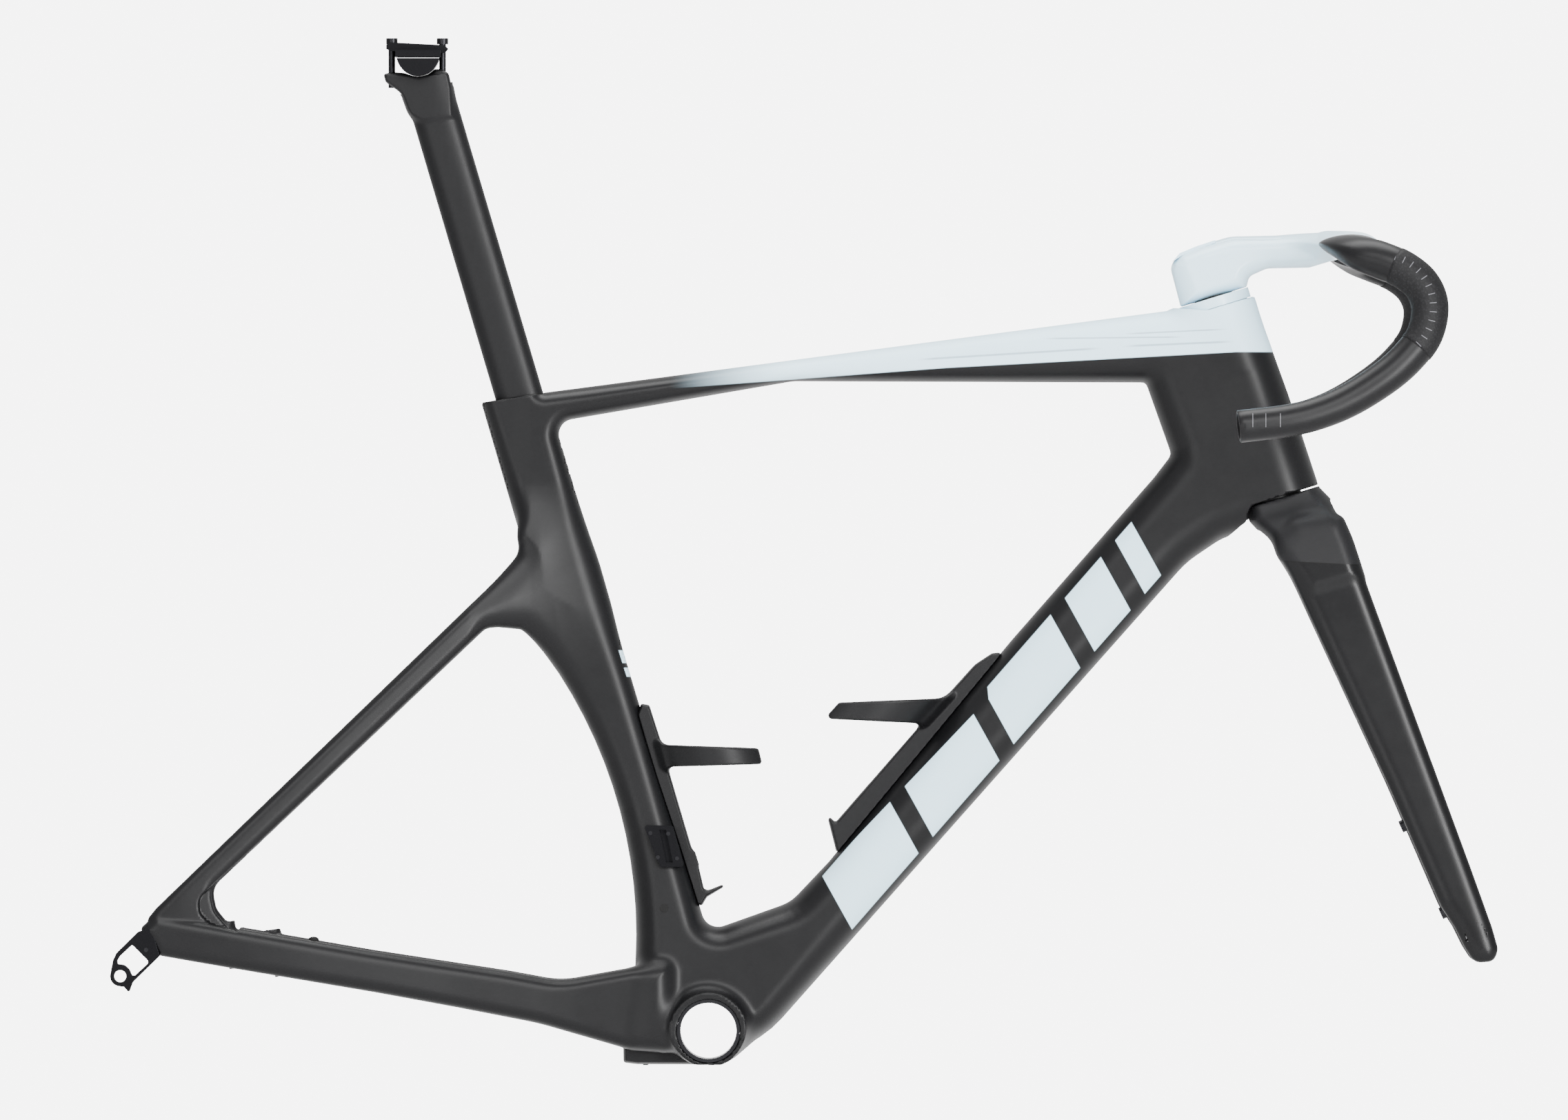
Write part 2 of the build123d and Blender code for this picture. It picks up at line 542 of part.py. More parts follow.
stem = stem - steerer_room - cap_room - stem_hollow - top_cover
STEM_BOLTS = [(350.5, 541), (345.5, 557)]
stem_bolts = [along_y(x, z, 2.5, -17, 17) + along_y(x, z, 4, 14, 18.4) for x, z in STEM_BOLTS]
for bolt in stem_bolts:
    stem = stem - bolt
nodes["stem_clamp_bolts"] = Compound(stem_bolts)

tops_stations = [
    (-BAR_TOP_HALF, 475, 571, 28, 23.5),
    (-110, 474, 571.5, 44, 22.5),
    (-30, 473, 571.5, 46, 23),
    (30, 473, 571.5, 46, 23),
    (110, 474, 571.5, 44, 22.5),
    (BAR_TOP_HALF, 475, 571, 28, 23.5),
]


def tops_loft(wall):
    """Wing-shaped bar tops, solid through their stations with the wall taken off."""
    faces = []
    for y, x, z, chord, thick in tops_stations:
        cut = Plane(origin=(x, y, z), x_dir=(1, 0, 0), z_dir=(0, 1, 0))
        faces.append(cut * Ellipse(chord / 2 - wall, thick / 2 - wall))
    return loft(faces, ruled=True)


tops_outer = tops_loft(0)
nodes["stem"] = largest(stem - tops_outer)
nodes["bar_tops"] = tops_outer - tops_loft(BAR_WALL)
drop_points = [
    (475, BAR_TOP_HALF, 571), (475, 180, 571), (528, 187, 555.5), (527, 196, 503),
    (474, 203, 459), (386, 212, 441.4),
]
drop_path = FilletPolyline(*drop_points, radius=[20, 27, 40, 60])
drop_plane = Plane(origin=drop_path @ 0, z_dir=drop_path % 0)
drop = sweep(drop_plane * Circle(BAR_RADIUS), path=drop_path)
drop_hollow = sweep(drop_plane * Circle(BAR_RADIUS - BAR_WALL), path=drop_path)
drop = drop - drop_hollow
nodes["bar_drop_left"] = drop
nodes["bar_drop_right"] = flip(drop)

nodes["expander"] = ring(
    steer, STEERER_BORE, PRELOAD_RADIUS + 0.4, STEERER_TOP - 34, STEERER_TOP - 2
)
nodes["preload_bolt"] = (
    steer.location * Pos(0, 0, STEERER_TOP - 12) * Cylinder(PRELOAD_RADIUS, 26)
    + steer.location * Pos(0, 0, STEERER_TOP + 2.5) * Cylinder(5.0, 3)
)
nodes["top_cap"] = ring(steer, CAP_RADIUS, PRELOAD_RADIUS + 0.2, STEERER_TOP, STEERER_TOP + 1)
nodes["stem_top_cover"] = top_cover


# --- bottle cages -------------------------------------------------------------------------
def cage(base_point, rise, base_outline, arm_outlines):
    """A base along the tube and arms cut from a sleeve round the bottle, in side view."""
    middle = Plane(
        origin=(base_point[0], 0, base_point[1]),
        x_dir=(sin(rise), 0, -cos(rise)),
        z_dir=(cos(rise), 0, sin(rise)),
    )
    sleeve = middle.location * (
        Cylinder(BOTTLE_RADIUS + CAGE_THICKNESS, 260) - Cylinder(BOTTLE_RADIUS, 262)
    )
    body = plate(base_outline, -11, 11)
    for outline in arm_outlines:
        body += plate(outline, -45, 45) & sleeve
    return body - middle.location * Cylinder(BOTTLE_RADIUS, 262)


def bolt_plane(point, normal):
    """A plane on a tube's surface that looks out of it."""
    return Plane(origin=(point[0], 0, point[1]), x_dir=(0, 1, 0), z_dir=(normal[0], 0, normal[1]))


DOWN_NORMAL = (-sin(down_rise), cos(down_rise))
SEAT_NORMAL = (sin(seat_rise), cos(seat_rise))
down_base = [
    (214.5, 277.4), (207, 276.5), (196, 270), (156.5, 226), (96, 156), (88, 157), (84.5, 152), (87, 132.6),
]
down_arm = [(178, 242), (95.6, 240), (84.8, 228.3), (157.5, 225)]
seat_base = [
    (-48.8, 232), (-44.5, 239.5), (-38.6, 238.5), (-28.5, 205), (-7.5, 134), (-1.5, 120), (1.7, 100.6),
    (-2.2, 92), (-6.3, 90.5),
]
seat_arm = [(-33, 208.8), (38.8, 206.5), (41.9, 194.9), (-26, 193.3)]
down_cage = cage((133.5, 255.4), down_rise, down_base, [down_arm])
seat_cage = cage((13.3, 177.4), radians(180 - SEAT_ANGLE), seat_base, [seat_arm])
down_cage = down_cage - down_outer
seat_cage = seat_cage - seat_outer

down_first = (131.2, 183)
down_step = (BOSS_SPACING * cos(down_rise), BOSS_SPACING * sin(down_rise))
down_second = (down_first[0] + down_step[0], down_first[1] + down_step[1])
seat_first = (-19.5, 135)
seat_step = (-BOSS_SPACING * cos(seat_rise), BOSS_SPACING * sin(seat_rise))
seat_second = (seat_first[0] + seat_step[0], seat_first[1] + seat_step[1])
cage_bolts = []
bosses = []
boss_places = [
    (down_first, DOWN_NORMAL), (down_second, DOWN_NORMAL),
    (seat_first, SEAT_NORMAL), (seat_second, SEAT_NORMAL),
]
for point, normal in boss_places:
    place = bolt_plane(point, normal).location
    bolt = place * Pos(0, 0, -3) * Cylinder(BOSS_RADIUS, 13) + place * Pos(0, 0, 4.2) * Cylinder(4.0, 2.4)
    room = place * Pos(0, 0, 9.4) * Cylinder(4.2, 8)
    boss = place * Pos(0, 0, -5.2) * (Cylinder(4.4, 10) - Cylinder(BOSS_RADIUS, 11))
    boss_room = place * Pos(0, 0, -4.6) * Cylinder(4.4, 11.2)
    cage_bolts.append(bolt)
    bosses.append(boss)
    down_cage = down_cage - bolt - room - boss_room
    seat_cage = seat_cage - bolt - room - boss_room
    nodes["down_tube"] = nodes["down_tube"] - boss_room
    nodes["seat_tube"] = nodes["seat_tube"] - boss_room
nodes["down_tube_cage"] = largest(down_cage)
nodes["seat_tube_cage"] = largest(seat_cage)
nodes["cage_bolts"] = Compound(cage_bolts)
nodes["bottle_bosses"] = Compound(bosses)

os.makedirs("parts", exist_ok=True)
for name, shape in nodes.items():
    export_step(shape, "parts/" + name + ".step")
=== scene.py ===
"""Looks of the aero road bicycle frame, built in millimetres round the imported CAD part.

Smooth shells are level sets of a side outline blown up to a half width, meshed as a surface net.
"""

import itertools
import math

import bpy
import numpy as np
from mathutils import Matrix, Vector


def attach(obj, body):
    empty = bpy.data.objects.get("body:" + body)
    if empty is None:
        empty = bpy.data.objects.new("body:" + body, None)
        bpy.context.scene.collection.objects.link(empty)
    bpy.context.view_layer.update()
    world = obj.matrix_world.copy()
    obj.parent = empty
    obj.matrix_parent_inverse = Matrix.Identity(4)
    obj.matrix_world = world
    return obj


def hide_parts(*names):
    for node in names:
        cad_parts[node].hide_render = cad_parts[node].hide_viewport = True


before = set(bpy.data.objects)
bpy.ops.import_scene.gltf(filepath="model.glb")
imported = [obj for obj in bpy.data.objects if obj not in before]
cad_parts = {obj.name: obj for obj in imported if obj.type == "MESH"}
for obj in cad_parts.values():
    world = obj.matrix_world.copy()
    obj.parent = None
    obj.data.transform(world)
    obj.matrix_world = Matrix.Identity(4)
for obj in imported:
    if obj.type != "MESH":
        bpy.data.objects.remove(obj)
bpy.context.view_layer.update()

MM = 0.001
HEAD_RISE = math.radians(73.0)
SEAT_RISE = math.radians(73.5)
HEAD_TOP = (372.0, 529.7)
SEAT_TOP = (-138.1, 463.0)
REAR_AXLE = (-404.0, 70.0)
FRONT_AXLE = (561.0, 70.0)
TYRE_HALF = 21.5
SHOULDER = 14.0
TILT_CENTRE = (-212.7, 714.5)
BB_CENTRE = (0.0, 0.0)
BB_SHELL_RADIUS = 26.5
BB_SHELL_HALF = 43.2
BB_BORE_RADIUS = 23.05
AXLE_HOLE = 6.1
INSERT_HOLE = 7.5
REAR_WHEEL_ROOM = 347.0
FRONT_WHEEL_ROOM = 335.0
SEAT_TUBE_CURVE = 351
UNDERSIDE = -24.8
COARSE = 1.0


# --- fields ---
def along_axis(top, rise, x, z):
    """Forward of a leaning axis, and height along it from its top."""
    dx, dz = x - top[0], z - top[1]
    return dx * math.sin(rise) + dz * math.cos(rise), dz * math.sin(rise) - dx * math.cos(rise)


def steer_local(x, z):
    """Forward of the steering axis, and height along it from the top of the head tube."""
    return along_axis(HEAD_TOP, HEAD_RISE, x, z)


def seat_local(x, z):
    """Forward of the seatpost axis, and height along it from the mouth of the seat tube."""
    return along_axis(SEAT_TOP, SEAT_RISE, x, z)


def rounded(corners):
    """A closed outline through (x, z, radius) corners, each turned into an arc."""
    points = []
    count = len(corners)
    for index, (x, z, radius) in enumerate(corners):
        here = np.array((x, z), float)
        back = np.array(corners[index - 1][:2], float) - here
        ahead = np.array(corners[(index + 1) % count][:2], float) - here
        back_length, ahead_length = np.hypot(*back), np.hypot(*ahead)
        back, ahead = back / back_length, ahead / ahead_length
        opening = math.acos(float(np.clip(back @ ahead, -1, 1)))
        if radius <= 0 or math.pi - opening < 0.02:
            points.append(here)
            continue
        reach = min(radius / math.tan(opening / 2), 0.48 * back_length, 0.48 * ahead_length)
        radius = reach * math.tan(opening / 2)
        middle = here + (back + ahead) / np.hypot(*(back + ahead)) * radius / math.sin(opening / 2)
        start, end = here + back * reach - middle, here + ahead * reach - middle
        first = math.atan2(start[1], start[0])
        sweep = (math.atan2(end[1], end[0]) - first + math.pi) % (2 * math.pi) - math.pi
        steps = max(3, int(abs(sweep) / 0.12))
        for step in range(steps + 1):
            angle = first + sweep * step / steps
            points.append(middle + radius * np.array((math.cos(angle), math.sin(angle))))
    return np.array(points)


def signed_distance(outline, x, z):
    """Distance from each point to the outline, positive inside it."""
    nearest = np.full(x.shape, 1e9)
    inside = np.zeros(x.shape, bool)
    for a, b in zip(outline, np.roll(outline, -1, axis=0)):
        edge = b - a
        length = float(edge @ edge)
        if length < 1e-12:
            continue
        along = np.clip(((x - a[0]) * edge[0] + (z - a[1]) * edge[1]) / length, 0, 1)
        gap = (x - a[0] - along * edge[0]) ** 2 + (z - a[1] - along * edge[1]) ** 2
        nearest = np.minimum(nearest, gap)
        if a[1] != b[1]:
            crossed = ((a[1] > z) != (b[1] > z)) & (x < a[0] + (z - a[1]) / edge[1] * edge[0])
            inside ^= crossed
    return np.where(inside, 1, -1) * np.sqrt(nearest)


def sampled(function, low, high, step):
    """The function kept on a grid, and looked up between its points."""
    xs = np.arange(low[0], high[0] + step, step)
    zs = np.arange(low[1], high[1] + step, step)
    grid = function(*np.meshgrid(xs, zs, indexing="ij"))

    def look(x, z):
        u = np.clip((x - low[0]) / step, 0, len(xs) - 1.001)
        v = np.clip((z - low[1]) / step, 0, len(zs) - 1.001)
        i, j = u.astype(int), v.astype(int)
        a, b = u - i, v - j
        near = grid[i, j] * (1 - a) + grid[i + 1, j] * a
        far = grid[i, j + 1] * (1 - a) + grid[i + 1, j + 1] * a
        return near * (1 - b) + far * b

    return look


def outline_depth(shape, low, high, step, hole=None):
    """Inner depth of an outline, less a hole in it, kept on a grid."""

    def depth(x, z):
        inner = signed_distance(shape, x, z)
        return inner if hole is None else np.minimum(inner, -signed_distance(hole, x, z))

    return sampled(depth, low, high, step)


def blended(stations, spread):
    """A smooth map of a value through given (x, z, value) stations."""

    def value(x, z):
        gaps = [((x - sx) ** 2 + (z - sz) ** 2) / (2 * spread**2) for sx, sz, _ in stations]
        least = np.minimum.reduce(gaps)
        weights = [np.exp(least - gap) for gap in gaps]
        total = sum(weights)
        return sum(w * s[2] for w, s in zip(weights, stations)) / total

    return value


def eased(stations, spread=12.0):
    """A smooth curve of a value through (position, value) stations."""
    places, values = np.array(sorted(stations), float).T
    fine = np.arange(places[0] - 4 * spread, places[-1] + 4 * spread, 1.0)
    kernel = np.exp(-0.5 * (np.arange(-3 * spread, 3 * spread + 1) / spread) ** 2)
    padded = np.pad(np.interp(fine, places, values), len(kernel) // 2, mode="edge")
    smooth = np.convolve(padded, kernel / kernel.sum(), mode="valid")[: len(fine)]
    return lambda position: np.interp(position, fine, smooth)


def blown_up(depth, off, half, radius, power=2.2):
    """Level set of an outline of the given inner depth, blown up to the half width."""
    side = np.abs(off) / half
    edge = np.maximum(0, 1 - depth / radius)
    return ((side**power + edge**power) ** (1 / power) - 1) * np.minimum(half, radius)


def joined(a, b, blend):
    """Both shapes as one, with a soft blend of that size where they meet."""
    overlap = np.maximum(blend - np.abs(a - b), 0) / blend
    return np.minimum(a, b) - overlap**2 * blend / 4


def without(a, b, blend=1.0):
    """The first shape with the second taken away."""
    return -joined(-a, b, blend)


def rod_across(x, y, z, centre, radius, low, high):
    """A rod along Y between two places."""
    round_gap = np.hypot(x - centre[0], z - centre[1]) - radius
    return np.maximum(round_gap, np.maximum(low - y, y - high))


# --- surface nets ---
def surface_net(field, xs, ys, zs):
    """Points and quads of a closed mesh on the field's zero surface."""
    values = field(xs[:, None, None], ys[None, :, None], zs[None, None, :]).astype(np.float32)
    inside = values < 0
    cells = tuple(n - 1 for n in inside.shape)
    total = np.zeros(cells, np.int8)
    corners = list(itertools.product((0, 1), repeat=3))
    for a, b, c in corners:
        total += inside[a : cells[0] + a, b : cells[1] + b, c : cells[2] + c]
    active = (total > 0) & (total < 8)
    where = np.argwhere(active)
    number = np.full(cells, -1, np.int64)
    number[active] = np.arange(len(where))
    axes = (xs, ys, zs)
    places = np.stack(
        [np.stack([axes[d][where[:, d] + corner[d]] for d in range(3)], 1) for corner in corners], 1
    )
    at = np.stack([values[tuple(where[:, d] + corner[d] for d in range(3))] for corner in corners], 1)
    points = np.zeros((len(where), 3))
    hits = np.zeros(len(where))
    for p, q in itertools.combinations(range(8), 2):
        if sum(a != b for a, b in zip(corners[p], corners[q])) != 1:
            continue
        crossed = (at[:, p] < 0) != (at[:, q] < 0)
        share = np.where(crossed, at[:, p] / np.where(crossed, at[:, p] - at[:, q], 1), 0)
        points += crossed[:, None] * (places[:, p] + share[:, None] * (places[:, q] - places[:, p]))
        hits += crossed
    points /= hits[:, None]
    quads = []
    for axis in range(3):
        first, second = [d for d in range(3) if d != axis]
        low = [slice(1, n) for n in cells]
        low[axis] = slice(0, cells[axis])
        high = list(low)
        high[axis] = slice(1, cells[axis] + 1)
        starts = inside[tuple(low)]
        changed = np.argwhere(starts != inside[tuple(high)])
        outward = starts[tuple(changed.T)]
        changed[:, first] += 1
        changed[:, second] += 1
        quad = []
        for back_first, back_second in ((1, 1), (0, 1), (0, 0), (1, 0)):
            cell = changed.copy()
            cell[:, first] -= back_first
            cell[:, second] -= back_second
            quad.append(number[tuple(cell.T)])
        quad = np.stack(quad, 1)
        turned = outward if axis != 1 else ~outward
        quad[~turned] = quad[~turned][:, ::-1]
        quads.append(quad)
    return points, np.concatenate(quads)


def gradient(field, points, step):
    """Slope of the field at each point, by central differences."""
    slope = np.empty_like(points)
    for axis in range(3):
        shift = np.zeros(3)
        shift[axis] = step
        ahead, behind = points + shift, points - shift
        slope[:, axis] = (field(*ahead.T) - field(*behind.T)) / (2 * step)
    return slope


def settled(field, points, step):
    """The points moved onto the zero surface, and the normals there."""
    for _ in range(3):
        slope = gradient(field, points, step)
        size = np.maximum((slope**2).sum(1), 0.05)
        move = field(*points.T)[:, None] * slope / size[:, None]
        points = points - np.clip(move, -step, step)
    slope = gradient(field, points, step)
    return points, slope / np.maximum(np.linalg.norm(slope, axis=1), 1e-9)[:, None]


def mesh_piece(name, points, faces, normals, material):
    """A shown mesh from points in millimetres."""
    mesh = bpy.data.meshes.new(name)
    mesh.from_pydata((np.asarray(points) * MM).tolist(), [], faces)
    mesh.update()
    mesh.shade_smooth()
    if normals is not None:
        mesh.normals_split_custom_set_from_vertices(normals.tolist())
    mesh.materials.append(material)
    piece = bpy.data.objects.new(name, mesh)
    bpy.context.scene.collection.objects.link(piece)
    return piece


def skin(name, field, axes, material, body, replaced=()):
    """A level set as a shown piece that rides with a body and stands for CAD nodes."""
    points, quads = surface_net(field, *axes)
    step = min(float(np.diff(axis).min()) for axis in axes)
    points, normals = settled(field, points, step * 0.6)
    piece = mesh_piece(name, points, quads.tolist(), normals, material)
    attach(piece, body)
    if replaced:
        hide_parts(*replaced)
    return piece


def steps(*stretches):
    """Grid places along one axis: (from, to, step) stretches, end to end."""
    places = []
    for low, high, step in stretches:
        count = max(1, round((high - low) / step))
        places.append(np.linspace(low, high, count, endpoint=False))
    places.append(np.array([stretches[-1][1]], float))
    return np.concatenate(places)


# --- frame shell ---
def frame_outline():
    """Side outline of the main frame without its stays, and of the triangle inside it."""
    head_front = [(388.6, 565, 0), (397.1, 536.8, 60), (410.8, 503.9, 90), (424.1, 467.2, 200)]
    throat = [(435.3, 434.0, 200), (446.4, 400.3, 200), (458, 365, 2), (425, 345, 2), (402, 368, 6)]
    belly = [(376, 360.2, 40), (350, 342.6, 70), (27, -21.5, 90), (-58, -13.5, 3), (-54, 35, 30)]
    arc = []
    for degrees in np.arange(0, 39.1, 3):
        angle = math.radians(degrees)
        across, up = SEAT_TUBE_CURVE * math.cos(angle), SEAT_TUBE_CURVE * math.sin(angle)
        arc.append((REAR_AXLE[0] + across, REAR_AXLE[1] + up, 0))
    cluster = [(-136, 296.7, 3), (-158, 296.7, 5), (-168, 303, 5), (-134.2, 349.5, 20)]
    mouth = [(-173.5, 483.6, 1.5), (-138, 495, 1.5), (-122.3, 466.7, 4)]
    crest = [(340, 527.3, 8), (355, 565, 0)]
    outer = rounded(head_front + throat + belly + arc + cluster + mouth + crest)
    inner = rounded(
        [(-0.8, 72.4, 12), (60, 94, 30), (88, 123.5, 40), (221.2, 285, 200), (326.3, 405, 60)]
        + [(338.9, 421.5, 6), (320.2, 474.2, 4), (62, 475.2, 30), (-112.6, 445.2, 11)]
    )
    return outer, inner


seatstay_lateral = eased([(-392, 77), (-280, 55), (-168, 30.5), (-140, 21), (-110, 11), (-70, 5)])
seatstay_half = eased([(-392, 4.9), (-350, 5.4), (-280, 6.2), (-168, 7.2), (-130, 9), (-80, 10)])
chainstay_lateral = eased(
    [(-400, 77), (-380, 76.5), (-344, 73.5), (-304, 68), (-244, 57), (-184, 46), (-104, 34), (-44, 29)]
)
chainstay_half = eased([(-380, 6.8), (-344, 7.6), (-304, 8), (-244, 9), (-184, 10), (-104, 11)])


def seatstay_outline():
    """Side outline of a seatstay, from inside the seat cluster to the dropout."""
    return rounded(
        [(-173.9, 312.1, 60), (-134.2, 350.2, 20), (-139, 366, 10), (-120, 364, 20), (-96, 338, 20)]
        + [(-90, 305, 10), (-110, 297.5, 6), (-160, 297.2, 20), (-364.5, 103.4, 14), (-361, 88, 10)]
        + [(-351, 76, 4), (-351, 64, 2), (-400, 70, 2), (-410, 82, 3), (-403.5, 90.0, 6)]
    )


def chainstay_outline():
    """Side outline of a chainstay, from the bottom bracket to the dropout."""
    return rounded(
        [(-30, 46, 4), (-56, 46, 20), (-108, 36.6, 60), (-146, 43.5, 200), (-246.7, 58.7, 0)]
        + [(-307.8, 69.1, 200), (-403.6, 85.4, 5), (-415.4, 75.2, 3), (-401.7, 55.5, 4), (-361.8, 48.5, 0)]
        + [(-243.3, 28.3, 0), (-184, 17.3, 0), (-124.3, 5.6, 200), (-62, -12.5, 20), (-30, -14, 4)]
    )


HALF_WIDTHS = [
    (385, 530, 27.4), (400, 470, 27), (425, 405, 33), (350, 480, 24.5), (345, 430, 27),
    (350, 520, 27.4), (300, 500, 21.5), (155, 488, 20), (0, 473, 19), (-80, 462, 17),
    (-130, 455, 15.2), (-125, 400, 15.2), (-100, 320, 17), (-150, 315, 26), (-80, 260, 15.2),
    (-60, 200, 15.8), (-45, 150, 18.5), (-32, 110, 22.5), (-28, 80, 27), (0, 0, 40),
    (-40, 20, 36), (40, 40, 36), (0, 60, 31), (70, 70, 31), (120, 125, 29), (200, 215, 28),
    (300, 335, 27.5), (350, 385, 28),
]
EDGE_ROUNDS = [
    (385, 525, 27), (400, 470, 30), (425, 405, 30), (350, 480, 22), (345, 430, 24),
    (300, 500, 18), (155, 488, 12.5), (40, 477, 8.5), (-30, 470, 9), (-100, 460, 10),
    (-168, 450, 8), (-125, 440, 13), (-125, 400, 16), (-100, 320, 18), (-150, 315, 14), (-80, 260, 16),
    (-60, 200, 16), (-45, 150, 16), (-32, 110, 18), (-28, 80, 18), (0, 0, 18),
    (40, 40, 22), (0, 60, 18), (70, 70, 24), (120, 125, 25), (200, 215, 25),
    (300, 335, 25), (350, 385, 25),
]
frame_low, frame_high = (-450.0, -40.0), (460.0, 550.0)
frame_outer, frame_inner = frame_outline()
frame_depth = outline_depth(frame_outer, frame_low, frame_high, 1.5, frame_inner)
frame_half = sampled(blended(HALF_WIDTHS, 42), frame_low, frame_high, 6.0)
frame_round = sampled(blended(EDGE_ROUNDS, 36), frame_low, frame_high, 6.0)
seatstay_depth = outline_depth(seatstay_outline(), (-450.0, 40.0), (-40.0, 400.0), 1.5)
chainstay_depth = outline_depth(chainstay_outline(), (-450.0, -40.0), (0.0, 150.0), 1.5)


def tyre_room(x, y, z, axle, radius):
    """Room for a tyre about an axle, with round shoulders."""
    out = np.hypot(x - axle[0], z - axle[1]) - radius + SHOULDER
    side = np.abs(y) - TYRE_HALF + SHOULDER
    corner = np.hypot(np.maximum(out, 0), np.maximum(side, 0))
    return np.minimum(np.maximum(out, side), 0) + corner - SHOULDER


def head_room(x, y, z):
    """Room about the steering axis: bearings, steerer, top cover and the turning crown."""
    forward, height = steer_local(x, z)
    out = np.hypot(forward, y)
    low = np.interp(height, [-300, -175, -166, -157, -148], [102, 55, 44, 32.5, 27.5])
    bore = np.interp(height, [-138.2, -138, -10.1, -9.9, 0.2, 0.3], [26.1, 21, 21, 23.6, 23.6, 26.8])
    radius = np.where(height < -146.2, low, bore)
    return np.minimum((out - radius) * 0.8, crown_side(forward, height))


def crown_side(forward, height):
    """Room beside the crown: under the head tube's lower end, and round the throat behind it."""
    curl = np.hypot(np.minimum(forward + 14.5, 0), np.maximum(height + 154.5, 0)) - 8.3
    return np.where(forward < -14.5, np.where(height > -154.5, curl, -22.8 - forward), height + 146.2)


def top_ends(x, z):
    """Above the head tube's top and the seat tube's mouth."""
    forward, height = steer_local(x, z)
    rim = -0.45 + np.maximum(0, -6.5 - forward) * 0.37
    head = np.where(x > 200, height - rim, -50)
    mouth = (z - 459.6 - (x + 166.3) * 0.1615) * 0.987
    return np.maximum(head, np.where(x < -90, np.minimum(mouth, 30), -50))


def post_section(forward, y, grow):
    """Level set of the seatpost's rounded section."""
    deep, wide = 17.5 + grow, 12.0 + grow
    return (((np.abs(forward) / deep) ** 2.6 + (np.abs(y) / wide) ** 2.6) ** (1 / 2.6) - 1) * wide


def post_room(x, y, z):
    """Room for the seatpost, its wedge and seal in the seat tube."""
    forward, height = seat_local(x, z)
    tube = np.maximum(post_section(forward, y, 0.25), -215 - height)
    wedge = np.maximum(np.abs(forward + 20.6) - 5.2, np.abs(y) - 8.1)
    return np.minimum(tube, np.maximum(wedge, -64 - height))


BRAKE_POSTS = ((-350.0, 60.5), (-316.5, 54.8))
POST_LEAN = math.radians(9.7)
pocket_shape = rounded(
    [(-292, 169.5, 0), (-372.5, 97.5, 12), (-371.5, 86, 10), (-364.5, 79, 4), (-345, 73, 0), (-330, 100, 0)]
)
pocket_depth = outline_depth(pocket_shape, (-380.0, 65.0), (-285.0, 180.0), 1.0)


def brake_posts(x, y, z):
    """The two hollow posts of the rear brake on the left chainstay."""
    posts = []
    for post_x, post_z in BRAKE_POSTS:
        dx, dz = x - post_x, z - post_z
        up = dz * math.cos(POST_LEAN) - dx * math.sin(POST_LEAN)
        out = np.hypot(dx * math.cos(POST_LEAN) + dz * math.sin(POST_LEAN), y - 72.0)
        wall = np.maximum(out - 5.3, 2.9 - out)
        posts.append(np.maximum(wall, np.maximum(up - 18.8, 6 - up)))
    return np.minimum(*posts)


def frame_field(x, y, z):
    """The whole frame shell: main tubes, stays and dropouts, with room for what goes inside."""
    main = blown_up(frame_depth(x, z), y, frame_half(x, z), frame_round(x, z))
    shell = rod_across(x, y, z, BB_CENTRE, BB_SHELL_RADIUS, -BB_SHELL_HALF, BB_SHELL_HALF)
    main = joined(main, shell, 12.0)
    forward, height = steer_local(x, z)
    taper = 26.9 + np.minimum(height + 5, 0) * 0.12
    collar = np.maximum(np.hypot(forward, y) - taper, -45 - height)
    main = joined(main, collar, 9.0)
    off = np.abs(y)
    soft_top = 7.4 + 26 * np.clip((x + 175) / 45, 0, 1)
    upper = blown_up(seatstay_depth(x, z), off - seatstay_lateral(x), seatstay_half(x), soft_top)
    lower = blown_up(chainstay_depth(x, z), off - chainstay_lateral(x), chainstay_half(x), 10.0)
    blend = 1.5 + 12.5 * np.clip((x + 340) / 60, 0, 1)
    body = joined(joined(main, lower, 12.0), upper, blend)
    rabbet = np.maximum(-pocket_depth(x, z), seatstay_lateral(x) + 1.8 - off)
    body = without(body, np.where(x < -290, rabbet, 20.0), 1.5)
    body = joined(body, brake_posts(x, y, z), 2.0)
    body = without(body, tyre_room(x, y, z, REAR_AXLE, REAR_WHEEL_ROOM), 3.0)
    body = np.maximum(body, top_ends(x, z))
    body = np.maximum(body, UNDERSIDE - z)
    body = without(body, head_room(x, y, z), 0.8)
    body = without(body, post_room(x, y, z), 0.8)
    body = without(body, rod_across(x, y, z, BB_CENTRE, BB_BORE_RADIUS, -60, 60), 0.8)
    body = without(body, rod_across(x, y, z, REAR_AXLE, AXLE_HOLE, 60, 100), 0.8)
    return without(body, rod_across(x, y, z, REAR_AXLE, INSERT_HOLE, -81.2, -60), 0.8)


def build_frame_shell(material):
    """Main tubes, stays and dropouts as one moulded shell."""
    xs = steps(
        (-420, -340, 1.4 * COARSE), (-340, -176, 2.4 * COARSE), (-176, -50, 1.9 * COARSE),
        (-50, 452, 2.4 * COARSE),
    )
    ys = steps((-86, -24, 2.2 * COARSE), (-24, 24, 1.5 * COARSE), (24, 86, 2.2 * COARSE))
    zs = steps((-27, 108, 1.8 * COARSE), (108, 541, 2.4 * COARSE))
    replaced = (
        "head_tube", "head_gusset", "top_tube", "down_tube", "seat_tube", "bb_junction", "seat_cluster",
        "seatstay_left", "seatstay_right", "chainstay_left", "chainstay_right", "dropout_left",
        "dropout_right",
    )
    return skin("frame_shell", frame_field, (xs, ys, zs), material, "frame", replaced)


